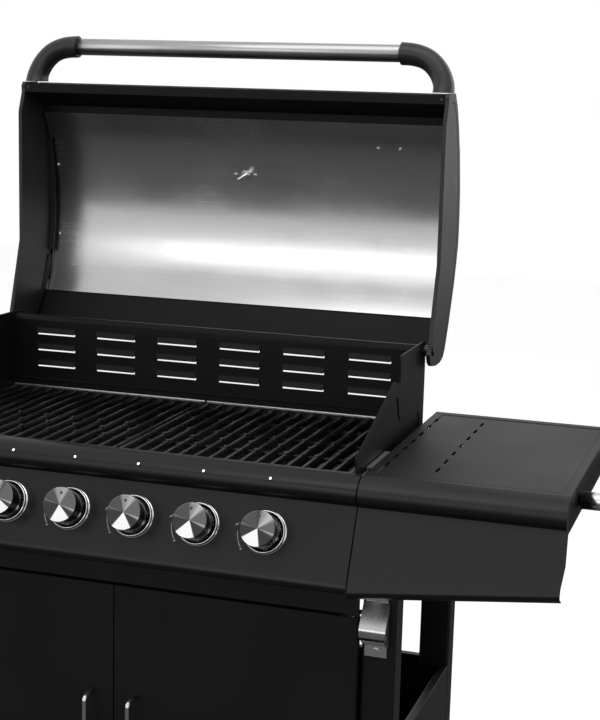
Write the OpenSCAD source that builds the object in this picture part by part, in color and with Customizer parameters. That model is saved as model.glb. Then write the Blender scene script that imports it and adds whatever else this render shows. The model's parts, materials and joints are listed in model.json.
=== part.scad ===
// Six-burner gas barbecue on a wheeled cabinet, with two side tables and a hinged hood.
// Millimetres, +Z up, front towards -Y, ground at Z = 0, X = 0 on the middle plane.
// The hood is drawn open, resting on its stop.

/* [Overall] */
// Height of the side tables above the ground
table_h = 880; // [820:5:940]
// Half width of the control panel
panel_half = 374.5; // [340:0.5:400]
// Distance from one burner and knob to the next
burner_pitch = 100; // [85:1:110]
// Width of each side table
table_w = 285.5; // [200:0.5:360]
// Depth of the side tables, from the top crease to the rear edge
table_depth = 445; // [400:5:500]
// Thickness of the folded steel sheet
sheet = 2; // [1.2:0.1:2.5]
// Gap left between neighbouring panels
seam = 2; // [1:0.5:4]

/* [Firebox] */
// Half width over the outside of the side walls
box_half = 363.8; // [330:0.1:370]
// Thickness of the side walls
wall = 3; // [2:0.5:5]
// Depth of the pressed field in the side walls
press = 1.4; // [0.5:0.1:1.6]
// Height of the firebox below the grates
box_depth = 178; // [150:1:220]
// Length of one vent slit in the rear wall
slit_len = 71; // [40:1:80]
// Height of one vent slit
slit_h = 4.5; // [2:0.5:8]
// Distance from one row of slits to the next
slit_pitch = 28; // [20:1:34]

/* [Grates] */
// Distance from one grate bar to the next
bar_pitch = 22.2; // [18:0.1:28]
// Width of a grate bar at its foot
bar_w = 8; // [5:0.5:10]
// Height of a grate bar
bar_h = 13; // [8:1:18]
// Radius of a bump on a bar
bump_r = 3.6; // [2:0.1:3.9]

/* [Controls] */
// Diameter of a knob's face
knob_d = 51; // [40:1:60]
// Height of a knob's face above the panel
knob_h = 40; // [35:0.1:60]
// Width of the ring round a knob
bezel_w = 6.5; // [4:0.5:10]
// Travel of a knob when it is pushed
push = 3; // [1:0.5:5]
// Radius of a knob's stem
stem_r = 3; // [2.5:0.1:4]
// Radius of a valve core
core_r = 6; // [5:0.1:8]
// Radial gap of a turning or sliding fit
fit = 0.05; // [0.02:0.01:0.09]
// Radius of a lamp on the nose
lamp_r = 2.8; // [1.5:0.1:4]

/* [Hood] */
// Radius of the hood's outer skin
hood_r = 417.5; // [380:0.5:460]
// Half width of the hood's sheet between its end caps
hood_half = 372; // [340:0.5:400]
// Thickness of an end cap
cap_t = 6.5; // [4:0.5:10]
// Gap between skin and liner
hood_gap = 4.5; // [3:0.5:8]
// Radius of the hood's hinge pins
hood_pin_r = 4; // [3:0.1:5]
// Diameter of the handle's tube
grip_d = 28; // [22:1:34]
// Half length of the handle's tube
grip_half = 296; // [200:1:330]

/* [Cabinet] */
// Width of a leg
leg_w = 50; // [35:1:55]
// Depth of a leg
leg_d = 40; // [30:1:50]
// Distance from the face of the front legs to the face of the rear legs
leg_span = 365; // [320:5:400]
// Height of the base shelf's top
shelf_h = 112; // [100:1:140]
// Height of the top of the doors
door_top = 671; // [600:1:700]
// Depth of a door's pan
door_t = 15; // [12:0.5:20]
// Height of the top of the lower side and rear panels
skirt_h = 467; // [300:1:600]
// Diameter of a door handle's rod
rod_d = 7; // [5:0.5:12]
// Length of a door handle
rod_len = 222; // [120:1:300]
// Radius of the doors' hinge pins
door_pin_r = 3; // [2:0.1:4]

/* [Rails and wheels] */
// Diameter of the towel rails' tube
rail_d = 25; // [16:1:30]
// How far a towel rail stands out from its table
rail_out = 68; // [50:1:90]
// Diameter of a wheel
wheel_d = 74; // [60:1:80]
// Width of a wheel
wheel_w = 24; // [16:1:30]
// Distance from a caster's swivel axis to its axle
trail = 25; // [15:1:35]
// Radius of a wheel's axle
axle_r = 4; // [3:0.1:6]

/* [Hidden] */
$fn = 48;
nose_z = table_h - 13;              // height of the lamp line on the nose
nose_y = -260.7;                    // the lamp line's place, so the whole is centred on Y = 0
crease = 23.6;                      // nose line to top crease
lean = 24;                          // lean of the control panel, bottom forwards
panel_len = 114.8;                  // control panel from the nose's lower edge to its bottom
panel_top = [5.4, -28.2];           // upper edge of the flat panel
knob_s = 50;                        // knob axis below the panel's upper edge
tilt = 90 - lean;
down = [-sin(lean), -cos(lean)];    // direction down the panel
knob_p = panel_top + knob_s * down;
table_x0 = panel_half + seam;
table_x1 = table_x0 + table_w;
table_rear = crease + table_depth;
leg_y0 = 41.4;
leg_y1 = leg_y0 + leg_span;
leg_x0 = table_x0 + 1.5;
leg_x1 = leg_x0 + leg_w;
door_y = 25.8;
door_low = shelf_h + 4;
door_r = 4;                         // rounding of a door's hinge side
door_x1 = leg_x0 - 1.5;
door_pin = [door_x1 - 9.5, door_y + door_t / 2];
front_y = 27;                       // firebox front wall
back_y = 391;                       // firebox rear wall
ear_y = 427;                        // rear edge of the firebox ears
grate_top = 12;
grate_z = grate_top - bar_h;
floor_z = grate_top - box_depth;
hinge = [416, 123];                 // hood hinge, behind and above the nose line
drawn_r = 417.5;                    // radius at which the hood's outlines are given
arc_c = grown([[153.4, 309]])[0];   // centre of the hood's arc
liner_r = hood_r - sheet - hood_gap;
cap_out = hood_half + cap_t;
thermo_a = 10.1;                    // thermometer's angle on the arc
dial_r = 30;
knob_x = [for (i = [0:5]) (i - 2.5) * burner_pitch];
// six columns of vent slits, spread over the rear wall
slit_x = [for (i = [0:5]) (i - 2.5) * (box_half - wall) * 0.311];
slit_z = 45;                        // lower edge of the lowest row of slits
burner_y = 76;                      // bend of a burner tube
burner_z = knob_p[1] - (burner_y - knob_p[0]) * tan(lean);
jet = 55;                           // tip of a valve's jet, behind the panel
tamer_z = -62;
wheel_r = wheel_d / 2;
mount_z = shelf_h - sheet;
caster_x = leg_x1 - 42;
caster_y0 = leg_y0 + 44;
caster_y1 = leg_y1 + leg_d - 44;
tray_half = 180;

black = [0.11, 0.11, 0.12];
enamel = [0.05, 0.05, 0.055];
steel = [0.72, 0.72, 0.73];
chrome = [0.85, 0.85, 0.87];
brass = [0.74, 0.60, 0.32];
zinc = [0.60, 0.61, 0.62];

// place of a point given behind and above the lamp line
function at(p) = [nose_y + p[0], nose_z + p[1]];
function ats(pts) = [for (p = pts) at(p)];
function unit(v) = v / norm(v);
function side(v) = [-v[1], v[0]];
// point i of a path moved sideways by t
function moved(p, i, t) = let (n = len(p),
    a = i > 0 ? unit(p[i] - p[i - 1]) : unit(p[1] - p[0]),
    b = i < n - 1 ? unit(p[i + 1] - p[i]) : a,
    m = unit(side(a) + side(b))) p[i] + m * t / max(0.3, m * side(a));
// points of the hood, spread from its hinge in step with its radius
function grown(pts) = [for (p = pts) hinge + (p - hinge) * hood_r / drawn_r];
// closed outline of a sheet of thickness t folded along a path
function folded(p, t) = concat(p, [for (i = [len(p) - 1:-1:0]) moved(p, i, t)]);
function arc(c, r, a0, a1, n) = [for (i = [0:n])
    let (a = a0 + (a1 - a0) * i / n) c + r * [cos(a), sin(a)]];

// a side outline (behind, above) extruded from x0 to x1
module along_x(x0, x1, pts) translate([x0, 0, 0]) rotate([90, 0, 90])
    linear_extrude(x1 - x0) polygon(ats(pts));
module box(a, b) translate(a) cube(b - a);
// a box given by x, behind and above the lamp line
module nbox(a, b) box(a + [0, nose_y, nose_z], b + [0, nose_y, nose_z]);
module both() { children(); mirror([1, 0, 0]) children(); }
module rod_x(x0, x1, p, r) translate([x0, nose_y + p[0], nose_z + p[1]])
    rotate([0, 90, 0]) cylinder(r = r, h = x1 - x0);
// a frame on the control panel: Z outwards, Y up the panel
module on_panel(x) translate([x, nose_y + knob_p[0], nose_z + knob_p[1]])
    rotate([tilt, 0, 0]) children();
// path with each inner corner cut off at a quarter of its sides
function eased(p) = concat([p[0]],
    [for (i = [1:len(p) - 2], k = [-1, 1]) p[i] + (p[i + k] - p[i]) / 4], [p[len(p) - 1]]);
// nose of the panel and of the side fascias, outer face, top to bottom
nose = eased([[crease, 13], [15, 10.6], [7, 6], [-0.6, -0.2], [-3.8, -7.5], [-4.3, -15],
    [-1.2, -22.5], panel_top]);
// bottom roll of a fascia that ends len below the panel's upper edge
function roll(len) = let (e = panel_top + len * down)
    eased([e - 9.5 * down, e + [0.7, 1.6], e + [1.6, -4.6], e + [6, -8.4], e + [12, -9.4],
        e + [24, -9.4]]);
function fascia(len) = concat(nose, roll(len));
// middle of the sheet from the crease to s down the panel
function inside(s) = concat([for (i = [0:len(nose) - 1]) moved(fascia(panel_len), i, 1)],
    [panel_top + s * down + [cos(lean), -sin(lean)]]);
// a gusset from the panel's inside back to y
function gusset(s, y) = concat(inside(s), [[y, (panel_top + s * down)[1]], [y, 6], [crease - 3, 9]]);

// ---- firebox ----
wall_line = [[front_y, floor_z], [ear_y, floor_z], [ear_y, 128], [421, 136], [408, 138.5],
    [270, 138.5], [267, 135], [267, 97], [262, 95.5], [246, 99], [238, 103], [229, 102],
    [43, 36], [37, 30], [37, 18], [front_y, 12]];
field_line = [[96, -30], [392, -30], [400, -22], [398, 22], [388, 29], [292, 34], [276, 37],
    [266, 46], [262, 60], [256, 74], [250, 78], [244, 77.5], [88, 16], [82, 10], [82, -18]];
module firebox_side() {
    color(black) difference() {
        union() {
            along_x(box_half - wall, box_half, wall_line);
            // ledge that carries the grate's side
            nbox([box_half - wall - 4, front_y + 12, grate_z - 8],
                [box_half - wall, back_y - 12, grate_z - 6]);
        }
        along_x(box_half - press, box_half + 1, field_line);
        rod_x(box_half - wall - 1, box_half + 1, hinge, hood_pin_r + 0.02);
    }
}
module firebox_left() mirror([1, 0, 0]) firebox_side();
module firebox_right() firebox_side();
module firebox_front() color(black) {
    x = box_half - wall;
    difference() {
        along_x(-x, x, folded([[front_y + 14, floor_z + sheet], [front_y, floor_z + sheet],
            [front_y, 9.5]], -sheet));
        for (i = knob_x) on_panel(i) translate([0, 0, -90]) cylinder(r = 15.5, h = 60);
    }
    // ledges for the grates and the flame tamers
    nbox([-x, front_y + sheet, grate_z - 2], [x, front_y + 14, grate_z]);
    nbox([-x, front_y + sheet, tamer_z - 2], [x, front_y + 16, tamer_z]);
}
module firebox_rear() color(black) {
    x = box_half - wall;
    difference() {
        along_x(-x, x, folded([[back_y - 14, floor_z + sheet], [back_y, floor_z + sheet],
            [back_y, 126], [back_y + 2, 131.5], [back_y + 6, 134], [back_y + 14, 134],
            [back_y + 16, 132], [back_y + 16, 122]], -sheet));
        for (i = slit_x, k = [0:2]) let (z = slit_z + k * slit_pitch)
            nbox([i - slit_len / 2, back_y - 9, z], [i + slit_len / 2, back_y + 9, z + slit_h]);
    }
    // hood over each slit
    for (i = slit_x, k = [0:2]) let (z = slit_z + k * slit_pitch + slit_h)
        along_x(i - slit_len / 2, i + slit_len / 2,
            [[back_y, z], [back_y, z + 8], [back_y - 4.5, z], [back_y - 4.5, z - 1.2]]);
    nbox([-x, back_y - 14, grate_z - 2], [x, back_y, grate_z]);
    nbox([-x, back_y - 16, tamer_z - 2], [x, back_y, tamer_z]);
    // lower flange line above the grates
    nbox([-x, back_y - 2, 22], [x, back_y, 25]);
}
module firebox_floor() color(black) {
    x = box_half - wall;
    difference() {
        nbox([-x, front_y, floor_z - sheet], [x, ear_y, floor_z]);
        nbox([-150, 150, floor_z - 5], [150, 270, floor_z + 1]);
    }
    // runners that carry the grease tray
    both() translate([0, nose_y + 46, nose_z + floor_z - sheet]) rotate([-90, 0, 0])
        linear_extrude(366) polygon([[tray_half + 2, 0], [tray_half + 12, 0], [tray_half + 12, 34],
            [tray_half - 10, 34], [tray_half - 10, 32], [tray_half + 10, 32], [tray_half + 10, 2],
            [tray_half + 2, 2]]);
}
module burner(x) {
    z0 = burner_z;
    // length of the venturi, whose mouth takes the tip of the jet
    len = norm([burner_y, z0] - knob_p) - jet + 5.5;
    difference() {
        translate([x, nose_y + burner_y, nose_z + z0]) {
            rotate([-90, 0, 0]) cylinder(r = 12.7, h = 286);
            sphere(r = 12.7);
            rotate([tilt, 0, 0]) cylinder(r = 12.7, h = len);
        }
        // hollow bore of the venturi
        translate([x, nose_y + burner_y, nose_z + z0]) rotate([tilt, 0, 0])
            translate([0, 0, 2]) cylinder(r = 10.5, h = len);
        // rows of flame ports
        for (s = [-1, 1], k = [0:2]) translate([x, nose_y + 110 + k * 84, nose_z + z0])
            rotate([0, s * 38, 0]) translate([-1, 0, 10.5]) cube([2, 76, 4]);
    }
    // foot under the far end
    nbox([x - 10, 350, z0 - 26], [x + 10, 352, z0 - 12]);
    nbox([x - 10, 350, z0 - 28], [x + 10, back_y, z0 - 26]);
}
module burners() color(steel) {
    for (i = knob_x) burner(i);
    // tie bar that keeps the burners apart
    nbox([-2.5 * burner_pitch - 30, 342, burner_z - 30], [2.5 * burner_pitch + 30, 360, burner_z - 28]);
}
module flame_tamers() color(steel) for (i = knob_x)
    translate([i, nose_y + front_y + 3, nose_z + tamer_z]) rotate([90, 0, 180])
        linear_extrude(back_y - front_y - 8)
            polygon(folded([[-40, 0], [-40, 4], [0, 34], [40, 4], [40, 0]], -1.5));

// ---- grates ----
module grate(s) {
    x0 = 1.5;
    x1 = box_half - wall - 1.5;
    y0 = front_y + 3;
    y1 = back_y - 3;
    n = floor((x1 - x0 - bar_w) / bar_pitch);
    gap = (x1 - x0 - bar_w) / n;
    mirror([s < 0 ? 1 : 0, 0, 0]) {
        for (i = [0:n]) let (x = x0 + bar_w / 2 + i * gap) {
            translate([x, nose_y + y0, nose_z + grate_z]) rotate([90, 0, 180])
                linear_extrude(y1 - y0) polygon([[-bar_w / 2, 0], [bar_w / 2, 0],
                    [bar_w / 2, bar_h - 5], [bar_w / 4, bar_h], [-bar_w / 4, bar_h],
                    [-bar_w / 2, bar_h - 5]]);
            // bumps: three staggered rows at the front and one at the rear
            if (i > 0 && i < n) for (k = [0:2]) if ((i + k) % 2 == 0)
                translate([x, nose_y + 100 + k * 42, nose_z + grate_top - 3])
                    cylinder(r = bump_r, h = 5);
            if (i > 0 && i < n) translate([x, nose_y + y1 - 22, nose_z + grate_top - 3])
                cylinder(r = bump_r * 0.8, h = 4);
        }
        for (y = [y0, y0 + 88, (y0 + y1) / 2 - 4, y1 - 96, y1 - 8])
            nbox([x0, y, grate_z], [x1, y + 8, grate_z + (y == y0 || y == y1 - 8 ? bar_h - 1 : 6)]);
    }
}
module grate_left() color(enamel) grate(-1);
module grate_right() color(enamel) grate(1);

// ---- control panel ----
module control_panel() color(black) difference() {
    union() {
        along_x(-panel_half, panel_half,
            folded(concat([[front_y, 13]], fascia(panel_len)), sheet));
        // ribs that carry the panel on the firebox front
        both() along_x(box_half - wall - 20, box_half - wall - 18, gusset(88, front_y));
    }
    for (i = knob_x) {
        on_panel(i) translate([0, 0, -10]) cylinder(r = 8, h = 20);
        translate([i, nose_y, nose_z]) rotate([52, 0, 0]) translate([0, 0, -6])
            cylinder(r = lamp_r + 0.02, h = 12);
    }
}
module led_lights() color([0.95, 0.97, 1]) for (i = knob_x)
    translate([i, nose_y, nose_z]) rotate([52, 0, 0]) {
        translate([0, 0, -3.5]) cylinder(r = lamp_r, h = 4);
        translate([0, 0, 0.5]) scale([1, 1, 0.35]) sphere(r = lamp_r, $fn = 32);
        translate([0, 0, -7]) cylinder(r = lamp_r + 1.6, h = 3.5);
    }
bezel_r = knob_d / 2 + bezel_w;
module knob_bezels() color(chrome) for (i = knob_x) on_panel(i)
    rotate_extrude($fn = 64) polygon([[9, 0], [bezel_r, 0], [bezel_r, 2.5], [bezel_r - 0.8, 4.4],
        [bezel_r - 2, 5], [bezel_r - 2.4, 7.6], [bezel_r - 1.9, 8.6], [bezel_r - 2.3, 9.8],
        [bezel_r - 3.2, 10.2], [bezel_r - 3.9, 9.6], [bezel_r - 4.1, 3], [9, 3]]);
module knob(i) {
    r = knob_d / 2;
    on_panel(knob_x[i]) {
        color(steel) rotate_extrude($fn = 64) polygon([[0, knob_h - 0.3], [r - 1.6, knob_h - 0.3],
            [r - 0.9, knob_h], [r - 0.3, knob_h - 0.4], [r, knob_h - 1.4], [r - 0.5, knob_h - 14],
            [r, knob_h * 0.3], [r + 0.4, 8.5], [r - 2.5, 8.5], [r - 3, knob_h - 4], [6, knob_h - 4],
            [6, 12], [0, 12]]);
        color(zinc) translate([0, 0, -20]) cylinder(r = stem_r, h = 32);
    }
}
module knob_1() knob(0);
module knob_2() knob(1);
module knob_3() knob(2);
module knob_4() knob(3);
module knob_5() knob(4);
module knob_6() knob(5);
// core that a knob's stem slides in and turns
module core(i) color(brass) on_panel(knob_x[i]) difference() {
    translate([0, 0, -28]) cylinder(r = core_r - fit, h = 20);
    translate([0, 0, -20 - push - 1.5]) cylinder(r = stem_r + fit, h = 40);
}
module valve_core_1() core(0);
module valve_core_2() core(1);
module valve_core_3() core(2);
module valve_core_4() core(3);
module valve_core_5() core(4);
module valve_core_6() core(5);
module gas_valves() color(brass) for (i = knob_x) on_panel(i) difference() {
    union() {
        translate([0, 0, -34]) cylinder(r = 10, h = 34 - sheet);
        // block that seats on the manifold
        translate([-9, -16, -30]) cube([18, 16, 18]);
        // jet that feeds the burner
        translate([0, 0, -jet]) cylinder(r = 5, h = 22);
    }
    translate([0, 0, -28.3]) cylinder(r = core_r, h = 40);
    translate([0, 0, -jet - 1]) cylinder(r = 0.8, h = 30);
}
module gas_manifold() color(zinc) {
    x1 = 2.5 * burner_pitch + 30;
    // top of the inlet, which hangs from the right end
    z1 = nose_z + knob_p[1] - 34;
    difference() {
        union() {
            on_panel(0) translate([-x1, -34, -30]) cube([2 * x1, 18, 18]);
            translate([x1 - 12, nose_y, z1 - 14]) cylinder(r = 12, h = 14, $fn = 6);
            translate([x1 - 12, nose_y, z1 - 36]) cylinder(r = 8, h = 30);
        }
        on_panel(0) translate([-x1 + 3, -25, -21]) rotate([0, 90, 0]) cylinder(r = 5, h = 2 * x1 - 6);
        translate([x1 - 12, nose_y, z1 - 37]) cylinder(r = 5, h = 40);
    }
}

// ---- side tables ----
module side_table() color(black) {
    difference() {
        union() {
            nbox([table_x0, crease + 0.7, 13 - sheet - 0.6], [table_x1 - sheet, table_rear, 13]);
            // outer end, rear and inner flanges
            along_x(table_x1 - sheet, table_x1, concat([[crease + 0.7, 13], [crease + 0.7, -38]],
                [[table_rear, -38], [table_rear, 13]]));
            nbox([table_x0, table_rear - sheet, -38], [table_x1 - sheet, table_rear, 13 - sheet]);
            nbox([table_x0, leg_y0 + leg_d, -20], [table_x0 + sheet, leg_y1, 13 - sheet]);
        }
        // pressed field and the two rows of slots
        nbox([table_x0 + 14, crease + 17, 13 - 0.6], [table_x1 - 12, table_rear - 18, 14]);
        for (x = [17, 91], k = [0:6]) let (y = 95 + k * 51.7)
            nbox([panel_half + x - 2.2, y - 12, 0], [panel_half + x + 2.2, y + 12, 14]);
        // holes for the towel rail's screws
        for (y = [112, table_rear - 57]) rod_x(table_x1 - 5, table_x1 + 1, [y, -13], 4.02);
    }
}
module table_left() mirror([1, 0, 0]) side_table();
module table_right() side_table();
side_drop = 116.5;                  // side fascia's inner end, below the panel's upper edge
side_rise = 31;                     // how much its lower edge rises outwards
// a frame along the side fascia's lower edge: X outwards, Y up the panel, Z off it
module rising_edge() on_panel(table_x0) translate([0, knob_s - side_drop, 0])
    rotate([0, 0, atan2(side_rise, table_w)]) children();
module side_fascias() color(black) both() {
    // sheet whose lower edge rises towards its outer end
    difference() {
        along_x(table_x0, table_x1,
            folded(concat(nose, [panel_top + (panel_len + 20) * down]), sheet));
        rising_edge() translate([-20, -60, -30]) cube([table_w + 60, 60 + 8, 60]);
    }
    // roll along that edge
    intersection() {
        rising_edge() translate([-20, 0, 0]) rotate([90, 0, 90]) linear_extrude(table_w + 60)
            polygon(folded([[8, 0], [0, 0], [-2.8, -0.8], [-5.6, -3.2], [-7, -6.6], [-7.4, -11],
                [-7.4, -22]], sheet));
        box([table_x0, nose_y - 80, 0], [table_x1, nose_y + 80, nose_z]);
    }
    // lip at the outer end
    along_x(table_x1 - 1.6, table_x1 - 0.1, concat(inside(panel_len - 36),
        [[14, -80], [crease, -30], [crease - 1, 9]]));
    // brackets back to the front legs
    for (x = [leg_x0 + 6, leg_x1 - 8]) along_x(x, x + 2, gusset(78, leg_y0));
}
module rail() {
    y0 = 112;
    y1 = table_rear - 57;
    r = 40;
    xr = table_x1 + rail_out;
    translate([0, nose_y, nose_z - 13]) {
        for (y = [y0, y1]) {
            translate([table_x1 + 3.5, y, 0]) rotate([0, 90, 0])
                cylinder(d = rail_d, h = rail_out - r - 3.5);
            // neck and screw into the table's end
            translate([table_x1, y, 0]) rotate([0, 90, 0]) cylinder(r = 8, h = 3.5);
            translate([table_x1 - 12, y, 0]) rotate([0, 90, 0]) cylinder(r = 4, h = 12);
        }
        translate([xr - r, y0 + r, 0]) rotate([0, 0, -90]) rotate_extrude(angle = 90)
            translate([r, 0]) circle(d = rail_d);
        translate([xr - r, y1 - r, 0]) rotate_extrude(angle = 90)
            translate([r, 0]) circle(d = rail_d);
        translate([xr, y0 + r, 0]) rotate([-90, 0, 0]) cylinder(d = rail_d, h = y1 - y0 - 2 * r);
    }
}
module towel_rails() color(steel) both() rail();

// ---- cabinet ----
module leg(y) translate([leg_x0, nose_y + y, shelf_h]) linear_extrude(table_h - sheet - 0.6 - shelf_h)
    difference() {
        translate([4, 4]) offset(r = 4, $fn = 24) square([leg_w - 8, leg_d - 8]);
        translate([2, 2]) square([leg_w - 4, leg_d - 4]);
    }
module legs() color(black) both() { leg(leg_y0); leg(leg_y1); }
module side_panels() color(black) both() {
    translate([0, nose_y + leg_y0 + leg_d, 0]) rotate([-90, 0, 0]) mirror([0, 1, 0])
        linear_extrude(leg_span - leg_d)
            polygon([[leg_x1, shelf_h], [leg_x1, skirt_h], [leg_x1 - 13, skirt_h],
                [leg_x1 - 13, skirt_h - 2], [leg_x1 - 2, skirt_h - 2], [leg_x1 - 2, shelf_h]]);
}
module rear_panel() color(black) {
    y = nose_y + leg_y1 + leg_d;
    translate([-leg_x0, 0, 0]) rotate([90, 0, 90]) linear_extrude(2 * leg_x0)
        polygon([[y, shelf_h], [y, skirt_h], [y - 13, skirt_h], [y - 13, skirt_h - 2],
            [y - 2, skirt_h - 2], [y - 2, shelf_h]]);
}
module base_shelf() color(black) {
    y0 = nose_y + leg_y0;
    y1 = nose_y + leg_y1 + leg_d;
    difference() {
        box([-leg_x1, y0, shelf_h - 25], [leg_x1, y1, shelf_h]);
        box([-leg_x1 + sheet, y0 + sheet, shelf_h - 26],
            [leg_x1 - sheet, y1 - sheet, shelf_h - sheet]);
    }
    // tabs that hold the doors' lower pins
    both() difference() {
        box([door_pin[0] - 9, nose_y + door_pin[1] - 6, shelf_h - 3], [door_pin[0] + 9, y0, shelf_h]);
        translate([door_pin[0], nose_y + door_pin[1], shelf_h - 8])
            cylinder(r = door_pin_r + 0.02, h = 10);
    }
}
module front_rail() color(black) {
    z0 = door_top + 5;
    y = nose_y + front_y;
    translate([-leg_x0, 0, 0]) rotate([90, 0, 90]) linear_extrude(2 * leg_x0)
        polygon([[nose_y + 45, z0], [y - 3, z0], [y - 3, nose_z - 120], [y - 1, nose_z - 120],
            [y - 1, z0 + 2], [nose_y + 45, z0 + 2]]);
    // stop behind the doors' upper edge
    box([-350, nose_y + door_y + door_t + 0.6, door_top - 14], [350, nose_y + 44, z0 + 2]);
    // tabs that hold the doors' upper pins
    both() difference() {
        box([door_pin[0] - 9, nose_y + door_pin[1] - 6, door_top + 2],
            [door_pin[0] + 9, nose_y + 44, door_top + 5]);
        translate([door_pin[0], nose_y + door_pin[1], door_top]) cylinder(r = door_pin_r + 0.02, h = 10);
    }
}
module body_brackets() color(zinc) both() {
    // the front pair shows in the gap beside the firebox, the rear pair sits lower
    nbox([box_half, 88, 6], [table_x0, 188, 8]);
    nbox([box_half, 50, -40], [leg_x0, 81, -10]);
    nbox([box_half, leg_y1 + 2, -60], [leg_x0, ear_y - 2, -30]);
    nbox([box_half, 88, 2], [box_half + 2, 188, 6]);
    nbox([box_half, 60, -10], [box_half + 2, 188, 2]);
}
module door() {
    x0 = 1;
    y = nose_y + door_y;
    color(black) difference() {
        union() {
            difference() {
                union() {
                    box([x0, y, door_low], [door_x1 - door_r, y + door_t, door_top]);
                    box([x0 + 9, y + door_r, door_low], [door_x1, y + door_t - door_r, door_top]);
                    for (v = [door_r, door_t - door_r]) translate([door_x1 - door_r, y + v, door_low])
                        cylinder(r = door_r, h = door_top - door_low);
                }
                box([x0 + sheet, y + sheet, door_low + sheet],
                    [door_x1 - door_r, y + door_t + 1, door_top - sheet]);
            }
            // stiffener along the middle of the pan
            box([x0 + 60, y + sheet, door_low + 250], [door_x1 - 60, y + door_t - 3, door_low + 254]);
        }
        translate([door_pin[0], nose_y + door_pin[1], door_low - 5])
            cylinder(r = door_pin_r + fit, h = door_top - door_low + 10);
        // holes for the handle's screws
        for (z = [rod_top, rod_top - rod_len]) translate([35, y - 1, z]) rotate([-90, 0, 0])
            cylinder(r = 2.02, h = 5);
    }
}
rod_top = door_top - 170;            // top of the doors' handles
module door_left() mirror([1, 0, 0]) door();
module door_right() door();
module door_handle() {
    y = nose_y + door_y;
    r = rod_d / 2;
    s = 27;
    b = 8;
    color(steel) {
        translate([35, y - s, rod_top - rod_len + b]) cylinder(r = r, h = rod_len - 2 * b);
        for (m = [0, 1]) translate([35, y - s, rod_top - rod_len / 2]) mirror([0, 0, m])
            translate([0, b, rod_len / 2 - b]) {
                rotate([90, 0, -90]) rotate_extrude(angle = 90) translate([b, 0]) circle(r = r);
                translate([0, 0, b]) rotate([-90, 0, 0]) cylinder(r = r, h = s - b);
                translate([0, s - b, b]) rotate([-90, 0, 0]) cylinder(r = 2, h = 6);
            }
    }
}
module door_handle_left() mirror([1, 0, 0]) door_handle();
module door_handle_right() door_handle();
module hinge_pins() color(zinc) both() {
    // door pins, each with a flange on its tab
    translate([door_pin[0], nose_y + door_pin[1], 0]) {
        translate([0, 0, shelf_h - 3]) cylinder(r = door_pin_r, h = 11);
        translate([0, 0, shelf_h - 5]) cylinder(r = door_pin_r + 2.5, h = 2);
        translate([0, 0, door_top - 4]) cylinder(r = door_pin_r, h = 9);
    }
    // hood pins, each with a shoulder that spaces the cap off the firebox
    rod_x(box_half - wall - 3, cap_out + 0.4, hinge, hood_pin_r);
    rod_x(box_half, hood_half - 0.3, hinge, hood_pin_r + 5);
    rod_x(box_half - wall - 3, box_half - wall, hinge, hood_pin_r + 1.5);
    rod_x(cap_out + 0.3, cap_out + 2.8, hinge, hood_pin_r + 3.4);
}
module bottle_opener() color(steel) {
    x0 = leg_x0 + 2;
    x1 = x0 + 38.6;
    y = leg_y0;
    difference() {
        union() {
            along_x(x0 + 3, x1 - 3, [[y, -163], [y, -254], [y - 2.5, -254], [y - 2.5, -163]]);
            along_x(x0, x1, [[y - 2.5, -172], [y - 2.5, -175.5], [18, -209], [19, -219], [16.5, -219.5],
                [14.6, -211], [15.2, -206]]);
            for (x = [x0, x1 - 2.5]) along_x(x, x + 2.5, [[y - 2.5, -172], [15.2, -206],
                [14.6, -211], [19, -222], [y - 2.5, -238]]);
            along_x(x0 + 2.5, x1 - 2.5, [[y - 2.5, -233], [y - 2.5, -237], [24, -230.5], [22.5, -226],
                [25, -225.5], [26, -228]]);
        }
        for (z = [-169, -245]) translate([(x0 + x1) / 2, nose_y + y + 1, nose_z + z])
            rotate([90, 0, 0]) cylinder(r = 2.6, h = 8);
    }
    for (z = [-169, -245]) translate([(x0 + x1) / 2, nose_y + y - 2.5, nose_z + z])
        rotate([90, 0, 0]) cylinder(r = 4, h = 2);
}

// ---- hood, drawn open ----
function on_arc(r, z) = let (h = grown([[0, z]])[0][1])
    [arc_c[0] + sqrt(r * r - pow(h - arc_c[1], 2)), h];
skin_line = concat([for (z = [530, 505, 475, 440, 405, 370, 335, 309, 280, 250, 220, 190])
    on_arc(hood_r, z)], grown([[541, 160], [530, 135], [516, 112]]));
module hood_skin() color(black) difference() {
    along_x(-hood_half, hood_half, folded(skin_line, -sheet));
    thermo_frame() translate([0, 0, -20]) cylinder(r = 6.02, h = 40);
}
liner_line = concat([for (z = [478, 450, 420, 390, 360, 330, 300, 270, 240, 210, 185])
    on_arc(liner_r, z)], grown([[532, 158]]));
module hood_liner() color(steel) difference() {
    along_x(-hood_half, hood_half, folded(liner_line, -1.5));
    thermo_frame() translate([0, 0, -20]) cylinder(r = 6.02, h = 40);
}
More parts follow.
